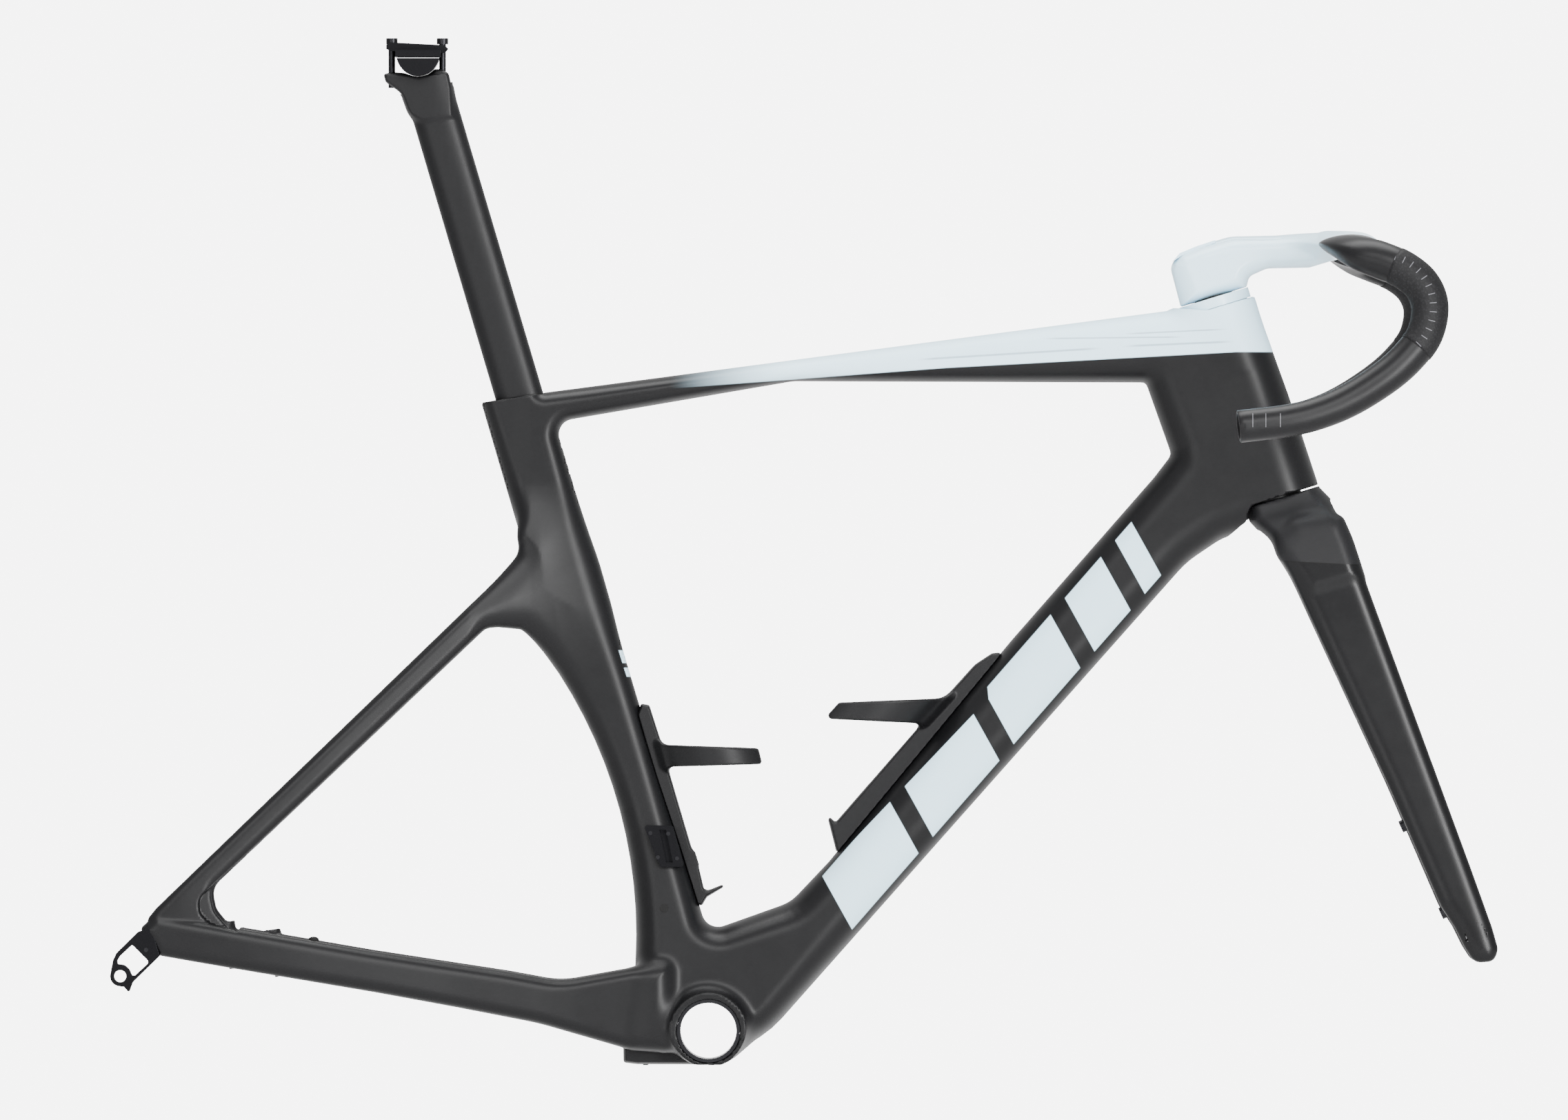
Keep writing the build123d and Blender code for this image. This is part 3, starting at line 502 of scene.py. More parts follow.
# --- fork shell ---
def crown_outline():
    """Side outline of the fork crown, under the head tube."""
    return rounded(
        [(440.5, 418, 0), (446.2, 399.0, 14), (458.5, 386.5, 30), (470.6, 360.1, 120), (480.5, 330, 4)]
        + [(440, 318, 6), (424, 338, 60), (408.9, 359.0, 24), (396.0, 372.5, 8), (387.5, 404, 0)]
    )


def blade_outline():
    """Side outline of a fork blade, from the crown to the tip."""
    return rounded(
        [(463.8, 376, 4), (470.6, 360.1, 120), (480.5, 330, 400), (513, 240.5, 800), (556.8, 121, 400)]
        + [(572.9, 76, 60), (577.4, 60, 8), (574.5, 51.0, 7), (560, 49.8, 9), (552.6, 61.3, 4)]
        + [(545.3, 76, 2), (535.4, 91, 30), (496.5, 180.7, 800), (441, 300, 400), (424, 337, 100)]
        + [(414, 353, 12), (430, 372, 10)]
    )


fork_low, fork_high = (380.0, 30.0), (600.0, 420.0)
crown_depth = outline_depth(crown_outline(), fork_low, fork_high, 1.2)
blade_depth = outline_depth(blade_outline(), fork_low, fork_high, 1.2)
blade_lateral = eased(
    [(50, 56.3), (76, 56.3), (91, 55.3), (121, 51.8), (181, 45.2), (241, 38.8), (300, 33.2), (356, 30.6)]
)
blade_half = eased([(50, 6.3), (121, 6.5), (181, 6.9), (241, 7.4), (300, 8.1), (356, 9)])
crown_half = eased([(-215, 38), (-195, 39.5), (-178, 38), (-168, 33.5), (-158, 26.5), (-148, 23.0)], 3.0)


def fork_field(x, y, z):
    """Fork crown and both blades."""
    _, height = steer_local(x, z)
    crown = blown_up(crown_depth(x, z), y, crown_half(height), 11.0)
    blades = blown_up(blade_depth(x, z), np.abs(y) - blade_lateral(z), blade_half(z), 12.5)
    body = joined(crown, blades, 7.0)
    body = np.maximum(body, height + 147.3)
    body = without(body, tyre_room(x, y, z, FRONT_AXLE, FRONT_WHEEL_ROOM), 2.0)
    body = without(body, rod_across(x, y, z, FRONT_AXLE, AXLE_HOLE, 40, 70), 0.8)
    return without(body, rod_across(x, y, z, FRONT_AXLE, INSERT_HOLE, -60.2, -40), 0.8)


def build_fork_shell(material):
    """Crown and blades as one moulded shell."""
    xs = steps((389, 581, 1.5 * COARSE))
    ys = steps((-66, 66, 1.5 * COARSE))
    zs = steps((46, 404, 1.8 * COARSE))
    replaced = ("fork_crown", "fork_blade_left", "fork_blade_right")
    return skin("fork_shell", fork_field, (xs, ys, zs), material, "steering", replaced)


# --- seatpost ---
def post_head_outline():
    """Side outline of the seatpost's head, with its seat for the clamp."""
    return rounded(
        [(-186.3, 668, 0), (-187.2, 690, 10), (-189.7, 701.4, 2), (-193.2, 703.7, 2), (-200.5, 704.1, 2)]
        + [(-206.3, 699.8, 4), (-212.5, 698.5, 6), (-223.7, 701.3, 4), (-234, 702, 2), (-239, 700.6, 2)]
        + [(-237.2, 693.7, 3), (-225.6, 685.5, 12), (-217.5, 664, 40)]
    )


post_head_depth = outline_depth(post_head_outline(), (-250.0, 650.0), (-170.0, 715.0), 1.0)


def clamp_room(x, y, z):
    """Room in the seatpost's head for the cradle, both bolts and their nuts as the clamp tilts."""
    dx, dz = x - TILT_CENTRE[0], z - TILT_CENTRE[1]
    out = np.hypot(dx, dz)
    aside = 6 - np.abs(dx)
    nuts = np.maximum(np.maximum(np.abs(out - 26.8) - 4.8, np.abs(y) - 7.9), aside)
    bolts = np.maximum(np.maximum(out - 34, np.abs(y) - 3.3), aside)
    return np.minimum(np.minimum(out - 16.05, nuts), bolts)


def seatpost_field(x, y, z):
    """Aero seatpost: a rounded section along its axis, and the head."""
    forward, height = seat_local(x, z)
    stem_part = np.maximum(np.maximum(post_section(forward, y, 0.0), z - 698), -95 - height)
    head = blown_up(post_head_depth(x, z), y, 11.6, 3.0)
    body = joined(stem_part, np.where(z > 655, head, 20.0), 3.0)
    return without(body, clamp_room(x, y, z), 0.8)


def build_seatpost(material):
    """The seatpost, meshed more finely at its head."""
    xs = steps((-243, -182, 1.1 * COARSE), (-182, -90, 1.7 * COARSE))
    ys = steps((-16, 16, 1.1 * COARSE))
    zs = steps((362, 640, 2.4 * COARSE), (640, 708, 1.0 * COARSE))
    axes = (xs, ys, zs)
    return skin("seatpost_shell", seatpost_field, axes, material, "seatpost", ("seatpost",))


# --- cockpit ---
WHITE_HALF = 118.0
WING = (470.0, 571.2, 25.0, 11.9, 0.62, math.radians(-9))


def stem_outline():
    """Side outline of the stem, from the headset cover to the bar."""
    return rounded(
        [(345.8, 529.4, 1), (337.9, 559.4, 9), (344.9, 568.6, 8), (358, 574.2, 30), (382, 581.3, 30)]
        + [(415.4, 582.0, 0), (452, 584.4, 10), (484, 578, 8), (480, 563, 8), (452, 558.6, 20)]
        + [(409, 557.8, 12), (396.0, 552.0, 6), (393.8, 543.0, 1)]
    )


stem_depth = outline_depth(stem_outline(), (325.0, 515.0), (510.0, 600.0), 1.2)
stem_half = eased(
    [(338, 20.5), (362, 24.6), (385, 24.0), (405, 21.0), (430, 22.5), (450, 30), (470, 42), (486, 46)], 6.0
)


def wing_field(x, z, wing):
    """Level set of the bar's wing section, pointed at the rear."""
    centre_x, centre_z, chord, thick, point, tilt = wing
    dx, dz = x - centre_x, z - centre_z
    u = (dx * math.cos(tilt) + dz * math.sin(tilt)) / chord
    v = (dz * math.cos(tilt) - dx * math.sin(tilt)) / thick
    taper = (1 - point) + point * 1.22 * np.sqrt(np.clip((1 + u) / 2, 0.0004, 1))
    return (np.sqrt(u**2 + (v / taper) ** 2) - 1) * thick


def cockpit_field(x, y, z):
    """Stem and the pale middle of the bar tops as one shell."""
    forward, height = steer_local(x, z)
    stem = blown_up(stem_depth(x, z), y, stem_half(x), 11.0)
    stem = np.maximum(stem, np.where(forward < 0, np.hypot(forward, y) - 25.7, -5.0))
    wing = np.maximum(wing_field(x, z, WING), np.abs(y) - WHITE_HALF)
    body = joined(stem, wing, 16.0)
    body = np.maximum(body, 7.6 - height)
    groove = np.abs(np.abs(y) - 15.0) - 0.5
    groove = np.maximum(np.maximum(groove, 359 - x), x - 420)
    return without(body, np.maximum(groove, 570 - z), 0.5)


def build_cockpit(material):
    """Stem and pale bar tops as one moulded shell."""
    coarse = 1.0
    xs = steps((334, 500, 1.5 * coarse))
    ys = steps((-WHITE_HALF - 2, WHITE_HALF + 2, 2.0 * coarse))
    zs = steps((526, 588, 1.3 * coarse))
    return skin(
        "cockpit_shell", cockpit_field, (xs, ys, zs), material, "steering",
        ("stem", "bar_tops", "stem_clamp_bolts", "top_cap", "preload_bolt"),
    )


ROUND_STATIONS = (
    (506.5, 185, 555.4, 13.6), (519.6, 187, 544.2, 13.5), (525.4, 190, 528.4, 13.3),
    (521.6, 194, 508.7, 13.0), (510.2, 197, 493.0, 12.9), (494.0, 200, 478.3, 12.7),
    (469.4, 203, 462.3, 12.4), (446.8, 206, 452.2, 12.1), (422.2, 209, 445.8, 11.9),
    (386.3, 212, 441.4, 11.9),
)
BAR_STATIONS = [
    (470.0, 112, 571.2, 25.0, 11.9, 0.62, -9),
    (469.5, 132, 571.0, 24.5, 12.0, 0.62, -10),
    (469.5, 150, 570.3, 23.0, 12.2, 0.58, -12),
    (472.0, 164, 568.8, 19.5, 12.8, 0.40, -14),
    (478.5, 174.5, 566.2, 16.5, 13.4, 0.15, -12),
    (490.5, 180.5, 562.3, 14.2, 13.8, 0.0, 0),
    *((x, y, z, radius, radius, 0.0, 0) for x, y, z, radius in ROUND_STATIONS),
]


def smooth_through(stations, per_span):
    """A smooth run of values through the stations, evenly stepped between each pair."""
    values = np.array(stations, float)
    padded = np.vstack([2 * values[0] - values[1], values, 2 * values[-1] - values[-2]])
    rows = []
    for index in range(1, len(padded) - 2):
        before, start, end, after = padded[index - 1 : index + 3]
        for t in np.arange(per_span) / per_span:
            rows.append(
                0.5 * (2 * start + (end - before) * t + (2 * before - 5 * start + 4 * end - after) * t**2
                       + (3 * start - before - 3 * end + after) * t**3)
            )
    return np.vstack([rows, values[-1]])


def turning_frames(path, first_axis):
    """Two axes square to the path at each point, carried along it without twist."""
    tangents = np.gradient(path, axis=0)
    tangents /= np.linalg.norm(tangents, axis=1)[:, None]
    axis = np.array(first_axis, float)
    frames = []
    for tangent in tangents:
        axis = axis - tangent * (axis @ tangent)
        axis /= np.linalg.norm(axis)
        frames.append((axis.copy(), np.cross(axis, tangent)))
    return frames


def bar_rings(side, grow=0.0, around=64):
    """Rings of points along one drop; side is 1 for the left and -1 for the right."""
    rows = smooth_through(BAR_STATIONS, 8)
    path = rows[:, :3] * (1, side, 1)
    rings = []
    angles = np.linspace(0, 2 * np.pi, around, endpoint=False)
    frames = turning_frames(path, (1, 0, 0))
    upward = np.sign(frames[0][1][2])
    for (_, _, _, chord, thick, point, tilt), centre, (across, other) in zip(rows, path, frames):
        u, v = np.cos(angles), np.sin(angles)
        v = v * ((1 - point) + point * 1.22 * np.sqrt((1 + u) / 2))
        lift = math.radians(tilt)
        up = other * upward
        chord_axis = across * math.cos(lift) + up * math.sin(lift)
        thick_axis = up * math.cos(lift) - across * math.sin(lift)
        rings.append(
            centre + np.outer(u * (chord + grow), chord_axis) + np.outer(v * (thick + grow), thick_axis)
        )
    return np.array(rings), path


def ring_faces(rings, around, flip):
    """Quads between neighbouring rings."""
    faces = []
    for ring in range(rings - 1):
        for step in range(around):
            a, b = ring * around + step, ring * around + (step + 1) % around
            quad = (a, b, b + around, a + around)
            faces.append(quad[::-1] if flip else quad)
    return faces


def tube_piece(name, rings, material, flip):
    """A closed shell through the rings, its two ends shut by flat caps."""
    count, around = rings.shape[:2]
    points = rings.reshape(-1, 3)
    faces = ring_faces(count, around, flip)
    first = list(range(around))
    last = list(range((count - 1) * around, count * around))
    faces.append(first if flip else first[::-1])
    faces.append(last[::-1] if flip else last)
    piece = mesh_piece(name, points, faces, None, material)
    for polygon in piece.data.polygons[-2:]:
        polygon.use_smooth = False
    return piece


def bar_drop(side, materials):
    """One drop of the bar with its textured grip, its marks and its end plug."""
    label = "left" if side > 0 else "right"
    rings, path = bar_rings(side)
    mouth = path[-1] + (rings[-1] - path[-1]) * 0.82
    inward = path[-2] - path[-1]
    inward /= np.linalg.norm(inward)
    lip = path[-1] + (rings[-1] - path[-1]) * 0.95 - inward * 0.5
    rings = np.concatenate([rings, [lip, mouth - inward * 0.5, mouth + inward * 14]])
    drop = tube_piece("bar_drop_shell_" + label, rings, materials["bar"], side > 0)
    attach(drop, "steering")
    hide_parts("bar_drop_" + label)
    grown, _ = bar_rings(side, 0.35)
    grip = tube_piece("bar_grip_" + label, grown[45:78], materials["grip"], side > 0)
    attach(grip, "steering")
    return drop, grip


# --- bottle cages and the port cover ---
BOTTLE_RADIUS = 37.05
BOTTLE_REST = -66.0
ARM_RADIUS = 38.5
TUBE_GAP = 0.35
DOWN_CAGE = {
    "name": "down_tube_cage",
    "centre": (133.5, 255.4),
    "rise": math.radians(48.9),
    "base": [
        (215.0, 277.0, 1.5), (207.5, 276.2, 3), (195, 268, 20), (156.5, 225.5, 60), (93.0, 152.5, 1.5),
        (88.6, 156.6, 1), (87.6, 154, 1), (94.2, 128, 1.5), (98, 126, 2), (213, 268, 4),
    ],
    "half": 11.0,
    "arm": [(180, 243.5, 0), (95.6, 240, 3), (84.8, 228.3, 2.5), (160, 224.5, 0)],
    "axes": ((82, 217), (-41, 41), (131, 279)),
}
SEAT_CAGE = {
    "name": "seat_tube_cage",
    "centre": (13.3, 177.4),
    "rise": math.radians(106.5),
    "base": [
        (-52.6, 231, 1.5), (-49.4, 239.4, 1.5), (-43.0, 238.2, 1.5), (-34.6, 212.7, 8), (-29.0, 191.2, 20),
        (-11.6, 132, 6), (-2.0, 129.6, 1.2), (0.4, 124.4, 1.2), (-6.6, 121, 3), (-2.6, 101.8, 3),
        (10.6, 107.0, 1), (11.0, 104.8, 1), (-1.0, 97.6, 3), (-4.6, 91.5, 1.5), (-11.5, 90.6, 1.5),
        (-18.7, 114, 20),
    ],
    "half": 12.6,
    "arm": [(-40, 209.3, 0), (36.6, 206.6, 2.5), (39.4, 195.0, 2), (-36, 192.9, 0)],
    "axes": ((-55, 42), (-41, 41), (88, 241)),
}


def build_cage(cage, material):
    """Bottle cage: a keel that sits on the tube, and two arms round the bottle."""
    (x_low, x_high), (y_low, y_high), (z_low, z_high) = cage["axes"]
    low, high = (x_low - 5.0, z_low - 5.0), (x_high + 5.0, z_high + 5.0)
    base_depth = outline_depth(rounded(cage["base"]), low, high, 1.0)
    arm_depth = outline_depth(rounded(cage["arm"]), low, high, 1.0)
    (centre_x, centre_z), rise = cage["centre"], cage["rise"]

    def field(x, y, z):
        dx, dz = x - centre_x, z - centre_z
        along = dx * math.cos(rise) + dz * math.sin(rise)
        out = np.hypot(dx * math.sin(rise) - dz * math.cos(rise), y)
        keel = blown_up(base_depth(x, z), y, cage["half"], 1.8)
        arm = blown_up(arm_depth(x, z), out - ARM_RADIUS, 1.5, 1.5)
        bottle = np.maximum(out - BOTTLE_RADIUS, BOTTLE_REST - along)
        return without(without(joined(keel, arm, 6.0), bottle, 0.6), frame_field(x, y, z) - TUBE_GAP, 0.6)

    step = 1.1
    axes = (steps((x_low, x_high, step)), steps((y_low, y_high, step)), steps((z_low, z_high, step)))
    name = cage["name"]
    return skin(name + "_shell", field, axes, material, "frame", (name,))


def build_port_cover(material):
    """Flat cover under the bottom bracket, that shuts the cable ports."""
    shape = rounded(
        [(-62.5, -11, 2), (-62.3, -23.6, 2), (-52, -24.8, 4), (-6, -24.9, 1), (-16, -11, 3)]
    )
    depth = outline_depth(shape, (-70.0, -30.0), (30.0, -5.0), 0.8)

    def field(x, y, z):
        slab = blown_up(depth(x, z), y, 16.5, 2.5)
        return without(slab, rod_across(x, y, z, BB_CENTRE, 25.2, -60, 60), 0.6)

    axes = (steps((-64, -4, 1.2)), steps((-18, 18, 1.2)), steps((-25.6, -9, 0.9)))
    return skin("port_cover_shell", field, axes, material, "frame", ("bottom_port_cover",))


# --- derailleur hanger and hose plug ---
HANGER_HOLE = (-429.5, 40.5)
HANGER_MIDDLE = -79.0
HANGER_HALF = 3.9
HANGER_RING = (4.4, 7.4)
PLUG_CENTRE = (-290, 64.5, 65.7)
PLUG_RADII = (4, 3.5, 2.4)


def build_hanger(material):
    """Derailleur hanger: a foot at the dropout, two thin arms, a ring and a stop."""
    outer = rounded(
        [(-407, 76, 0), (-416.5, 72.4, 2), (-431.9, 57.2, 5), (-434.4, 52, 3), (-436.5, 41, 6)]
        + [(-430, 33.2, 6), (-426.6, 33.2, 1), (-423.2, 29.2, 0.6), (-420.5, 36.4, 3), (-401, 55.5, 0)]
    )
    window = rounded(
        [(-420.7, 64.0, 1.5), (-430.0, 55.4, 2), (-432.0, 52.0, 2), (-431.6, 49, 1.2), (-426.4, 48.4, 5)]
        + [(-423.0, 45.3, 4), (-420.9, 40.4, 1.5), (-418.6, 40.6, 1.2), (-408.8, 49.7, 2)]
        + [(-408.8, 52.0, 1.5)]
    )
    depth = outline_depth(outer, (-440.0, 25.0), (-395.0, 80.0), 0.4, window)

    def field(x, y, z):
        ring = np.hypot(x - HANGER_HOLE[0], z - HANGER_HOLE[1])
        plate = np.minimum(-0.4 - depth(x, z), ring - HANGER_RING[1])
        slab = np.maximum(plate, np.abs(y - HANGER_MIDDLE) - HANGER_HALF)
        return np.maximum(slab, HANGER_RING[0] - ring)

    axes = (steps((-437.5, -400, 0.55)), steps((-83.6, -74.4, 1.0)), steps((28, 78, 0.55)))
    return skin("hanger_shell", field, axes, material, "frame", ("derailleur_hanger",))


def build_hose_plug(material):
    """Low dome that shuts the hose port in the left chainstay."""

    def field(x, y, z):
        shares = [((p - m) / r) ** 2 for p, m, r in zip((x, y, z), PLUG_CENTRE, PLUG_RADII)]
        return (np.sqrt(sum(shares)) - 1) * PLUG_RADII[2]

    axes = (steps((-295, -285, 0.7)), steps((60, 69, 0.7)), steps((62.5, 69, 0.7)))
    return skin("hose_plug_shell", field, axes, material, "frame", ("rear_hose_plug",))


# --- material nodes ---
ICE = (0.56, 0.76, 0.87)
NEAR_BLACK = (0.0030, 0.0030, 0.0034)
CARBON = (0.0028, 0.0028, 0.0032)
DARK_SPECULAR = 0.16
STREAK = (0.33, 0.44, 0.52)
GRAPHIC = (0.50, 0.69, 0.79)


def started(name, color, roughness, metallic=0.0, specular=0.5):
    """A new material with its node tree and its shader."""
    material = bpy.data.materials.new(name)
    material.use_nodes = True
    tree = material.node_tree
    shader = tree.nodes["Principled BSDF"]
    shader.inputs["Base Color"].default_value = (*color, 1)
    shader.inputs["Roughness"].default_value = roughness
    shader.inputs["Metallic"].default_value = metallic
    shader.inputs["Specular IOR Level"].default_value = specular
    return material, tree, shader


def started_dark(name, color, roughness):
    """A new dark material that hardly shines face on."""
    return started(name, color, roughness, specular=DARK_SPECULAR)


def toned(color, factor):
    """A colour made lighter or darker by a factor."""
    return tuple(factor * c for c in color)


def plugged(tree, socket, value):
    """Feeds a socket from another socket or from a plain value."""
    if isinstance(value, bpy.types.NodeSocket):
        tree.links.new(value, socket)
    else:
        socket.default_value = value


def maths(tree, operation, *values):
    """Result of a math node on sockets or plain numbers."""
    node = tree.nodes.new("ShaderNodeMath")
    node.operation = operation
    for socket, value in zip(node.inputs, values):
        plugged(tree, socket, value)
    return node.outputs[0]


def fused(tree, value, factor, added):
    """The value times the factor, plus what is added."""
    return maths(tree, "MULTIPLY_ADD", value, factor, added)


def times(tree, product, *factors):
    """Product of sockets or plain numbers."""
    for factor in factors:
        product = maths(tree, "MULTIPLY", product, factor)
    return product


def rising(tree, value, low, high):
    """Zero below low, one above high, smooth between."""
    node = tree.nodes.new("ShaderNodeMapRange")
    node.interpolation_type = "SMOOTHSTEP"
    plugged(tree, node.inputs["Value"], value)
    node.inputs["From Min"].default_value = low
    node.inputs["From Max"].default_value = high
    return node.outputs["Result"]


def between(tree, value, low, high, soft=0.4):
    """One between the two limits and zero outside them."""
    reached = rising(tree, value, low - soft, low + soft)
    return times(tree, reached, maths(tree, "SUBTRACT", 1.0, rising(tree, value, high - soft, high + soft)))


def mixed(tree, factor, first, second):
    """Two colours mixed by a factor."""
    node = tree.nodes.new("ShaderNodeMix")
    node.data_type = "RGBA"
    plugged(tree, node.inputs["Factor"], factor)
    for socket, value in zip((node.inputs[6], node.inputs[7]), (first, second)):
        plugged(tree, socket, value if isinstance(value, bpy.types.NodeSocket) else (*value, 1))
    return node.outputs[2]


def painted(tree, shader, color):
    """Feeds the base colour."""
    tree.links.new(color, shader.inputs["Base Color"])


def scaled(tree, factors):
    """Object coordinates multiplied by one factor, or by one for each axis, as one vector."""
    places = tree.nodes.new("ShaderNodeTexCoord").outputs["Object"]
    node = tree.nodes.new("ShaderNodeVectorMath")
    node.operation = "MULTIPLY"
    tree.links.new(places, node.inputs[0])
    node.inputs[1].default_value = factors if isinstance(factors, tuple) else (factors,) * 3
    return node.outputs[0]


def places_mm(tree):
    """The three object coordinates in millimetres."""
    node = tree.nodes.new("ShaderNodeSeparateXYZ")
    tree.links.new(scaled(tree, 1000), node.inputs[0])
    return node.outputs


def noise(tree, factors, detail=3.0):
    """Noise over the scaled object coordinates."""
    node = tree.nodes.new("ShaderNodeTexNoise")
    tree.links.new(scaled(tree, factors), node.inputs["Vector"])
    node.inputs["Scale"].default_value = 1.0
    node.inputs["Detail"].default_value = detail
    return node.outputs[0]


def bumped(tree, shader, height, distance, strength=0.5):
    """Presses a height pattern into the surface; the distance is in metres."""
    node = tree.nodes.new("ShaderNodeBump")
    node.inputs["Distance"].default_value = distance
    node.inputs["Strength"].default_value = strength
    tree.links.new(height, node.inputs["Height"])
    tree.links.new(node.outputs[0], shader.inputs["Normal"])


def varied(tree, shader, pattern, low, high):
    """Lets the roughness wander between two values with the pattern."""
    tree.links.new(fused(tree, pattern, high - low, low), shader.inputs["Roughness"])


def sprayed(tree, shader):
    """Fine ripple of sprayed paint."""
    bumped(tree, shader, noise(tree, 1400, 1.0), 0.00002, 0.25)


# --- painted carbon ---
PALE_EDGES = ((67, 477, 0.0755), (173, 485, 0.0545))
PALE_EDGE_TOP = 496.6
STREAKS = (
    ((159, 491.4), (282, 499.0), 0.7), ((309, 501.0), (379, 504.0), 0.7),
    ((250.6, 506.5), (342.5, 507.5), 0.5), ((309, 510.0), (374, 513.0), 0.5),
)
DOWN_TUBE_RUN = (0.6574, 0.7536)
BLOCKS = ((122, 196), (212, 286), (302, 376), (392, 432), (448, 466))
BLOCK_LEAN = -0.36
CAGE_END = 318
CAGE_EDGE_SLOPE = 1.6


def white_area(tree, x, z):
    """The pale area on the top tube and the top of the head, faded out at its rear end."""
    rear, front = (
        fused(tree, x, slope, start_z - start_x * slope)
        for start_x, start_z, slope in PALE_EDGES
    )
    edge = maths(tree, "MINIMUM", maths(tree, "MINIMUM", rear, front), PALE_EDGE_TOP)
    above = rising(tree, maths(tree, "SUBTRACT", z, edge), -0.5, 0.5)
    return times(tree, above, rising(tree, x, -30, 65))


def streak(tree, x, z, start, end, half):
    """A thin stripe between two points in side view, soft at its ends."""
    slope = (end[1] - start[1]) / (end[0] - start[0])
    line = fused(tree, x, -slope, start[0] * slope - start[1])
    near = between(tree, maths(tree, "ADD", z, line), -half, half, 0.3)
    return times(tree, near, between(tree, x, start[0], end[0], 8))


def slanted_bars(tree, x, y, z):
    """Five slanted blocks along the down tube, wide to narrow."""
    run, climb = DOWN_TUBE_RUN
    s = fused(tree, x, run, times(tree, z, climb))
    t = fused(tree, z, run, fused(tree, x, -climb, 38.5))
    lean = fused(tree, t, BLOCK_LEAN, s)
    total = 0.0
    for low, high in BLOCKS:
        total = maths(tree, "ADD", between(tree, lean, low, high), total)
    sides = rising(tree, maths(tree, "ABSOLUTE", y), 9, 11)
    rise = fused(tree, s, CAGE_EDGE_SLOPE, -CAGE_EDGE_SLOPE * CAGE_END)
    past_cage = maths(tree, "MAXIMUM", rise, 0.0)
    limit = maths(tree, "ADD", fused(tree, x, 1.051, 27.8), past_cage)
    below = rising(tree, maths(tree, "SUBTRACT", limit, z), -0.4, 0.4)
    blocks = times(tree, total, between(tree, t, 8, 50))
    return times(tree, blocks, times(tree, sides, below))


def label_area(tree, x, y, z):
    """A small plain label block on the right side of the seat tube."""
    lean = fused(tree, z, 0.31, x)
    block = times(tree, between(tree, lean, 20.5, 29.5), between(tree, z, 259, 278.3))
    band = maths(tree, "SUBTRACT", 1.0, between(tree, z, 265.5, 269.0))
    right = maths(tree, "LESS_THAN", y, 0.0)
    return times(tree, block, band, right)


def frame_paint():
    """Satin near-black with the pale top, its streaks and the plain blocks."""
    material, tree, shader = started_dark("frame_paint", NEAR_BLACK, 0.38)
    x, y, z = places_mm(tree)
    flake = noise(tree, 900, 2.0)
    color = mixed(tree, flake, NEAR_BLACK, toned(NEAR_BLACK, 1.35))
    color = mixed(tree, white_area(tree, x, z), color, ICE)
    for start, end, half in STREAKS:
        color = mixed(tree, streak(tree, x, z, start, end, half), color, STREAK)
    color = mixed(tree, slanted_bars(tree, x, y, z), color, GRAPHIC)
    color = mixed(tree, label_area(tree, x, y, z), color, GRAPHIC)
    painted(tree, shader, color)
    varied(tree, shader, noise(tree, 60), 0.33, 0.43)
    sprayed(tree, shader)
    return material


def fork_paint():
    """Matte at the crown and glossier on the blades, with a fine line between."""
    material, tree, shader = started_dark("fork_paint", NEAR_BLACK, 0.4)
    x, _, z = places_mm(tree)
    line = fused(tree, x, 0.0493, z)
    matte = rising(tree, line, 363.9, 364.9)
    color = mixed(tree, matte, NEAR_BLACK, toned(NEAR_BLACK, 1.9))
    color = mixed(tree, between(tree, line, 363.8, 364.6, 0.2), color, (0.002, 0.002, 0.002))
    painted(tree, shader, color)
    soft = fused(tree, matte, 0.2, 0.27)
    wander = fused(tree, noise(tree, 80), 0.06, soft)
    tree.links.new(wander, shader.inputs["Roughness"])
    sprayed(tree, shader)
    return material


def white_paint():
    """Ice-blue white satin paint of the cockpit and the headset cover."""
    material, tree, shader = started("white_paint", ICE, 0.35)
    shade = mixed(tree, noise(tree, 30), ICE, (0.53, 0.73, 0.84))
    painted(tree, shader, shade)
    varied(tree, shader, noise(tree, 90), 0.30, 0.40)
    shader.inputs["Coat Weight"].default_value = 0.2
    shader.inputs["Coat Roughness"].default_value = 0.15
    return material


def matte_carbon(name, factors):
    """Bare matte carbon with a faint fibre direction."""
    material, tree, shader = started_dark(name, CARBON, 0.42)
    fibre = noise(tree, factors, 4.0)
    painted(tree, shader, mixed(tree, fibre, CARBON, toned(CARBON, 1.5)))
    varied(tree, shader, fibre, 0.36, 0.46)
    bumped(tree, shader, fibre, 0.00003, 0.3)
    return material


def grip_ticks(tree, x, y, z):
    """Fine marks on the outer side of the grip, evenly spread along its curve."""
    across, up = maths(tree, "SUBTRACT", x, 489.2), maths(tree, "SUBTRACT", z, 528.2)
    turn = maths(tree, "FRACT", times(tree, maths(tree, "ARCTAN2", up, across), 5.85))
    mark = between(tree, turn, 0.46, 0.54, 0.01)
    square = fused(tree, across, across, times(tree, up, up))
    run = between(tree, maths(tree, "SQRT", square), 36.0, 41.0)
    outer = maths(tree, "GREATER_THAN", maths(tree, "ABSOLUTE", y), 190.0)
    return times(tree, mark, run, outer)


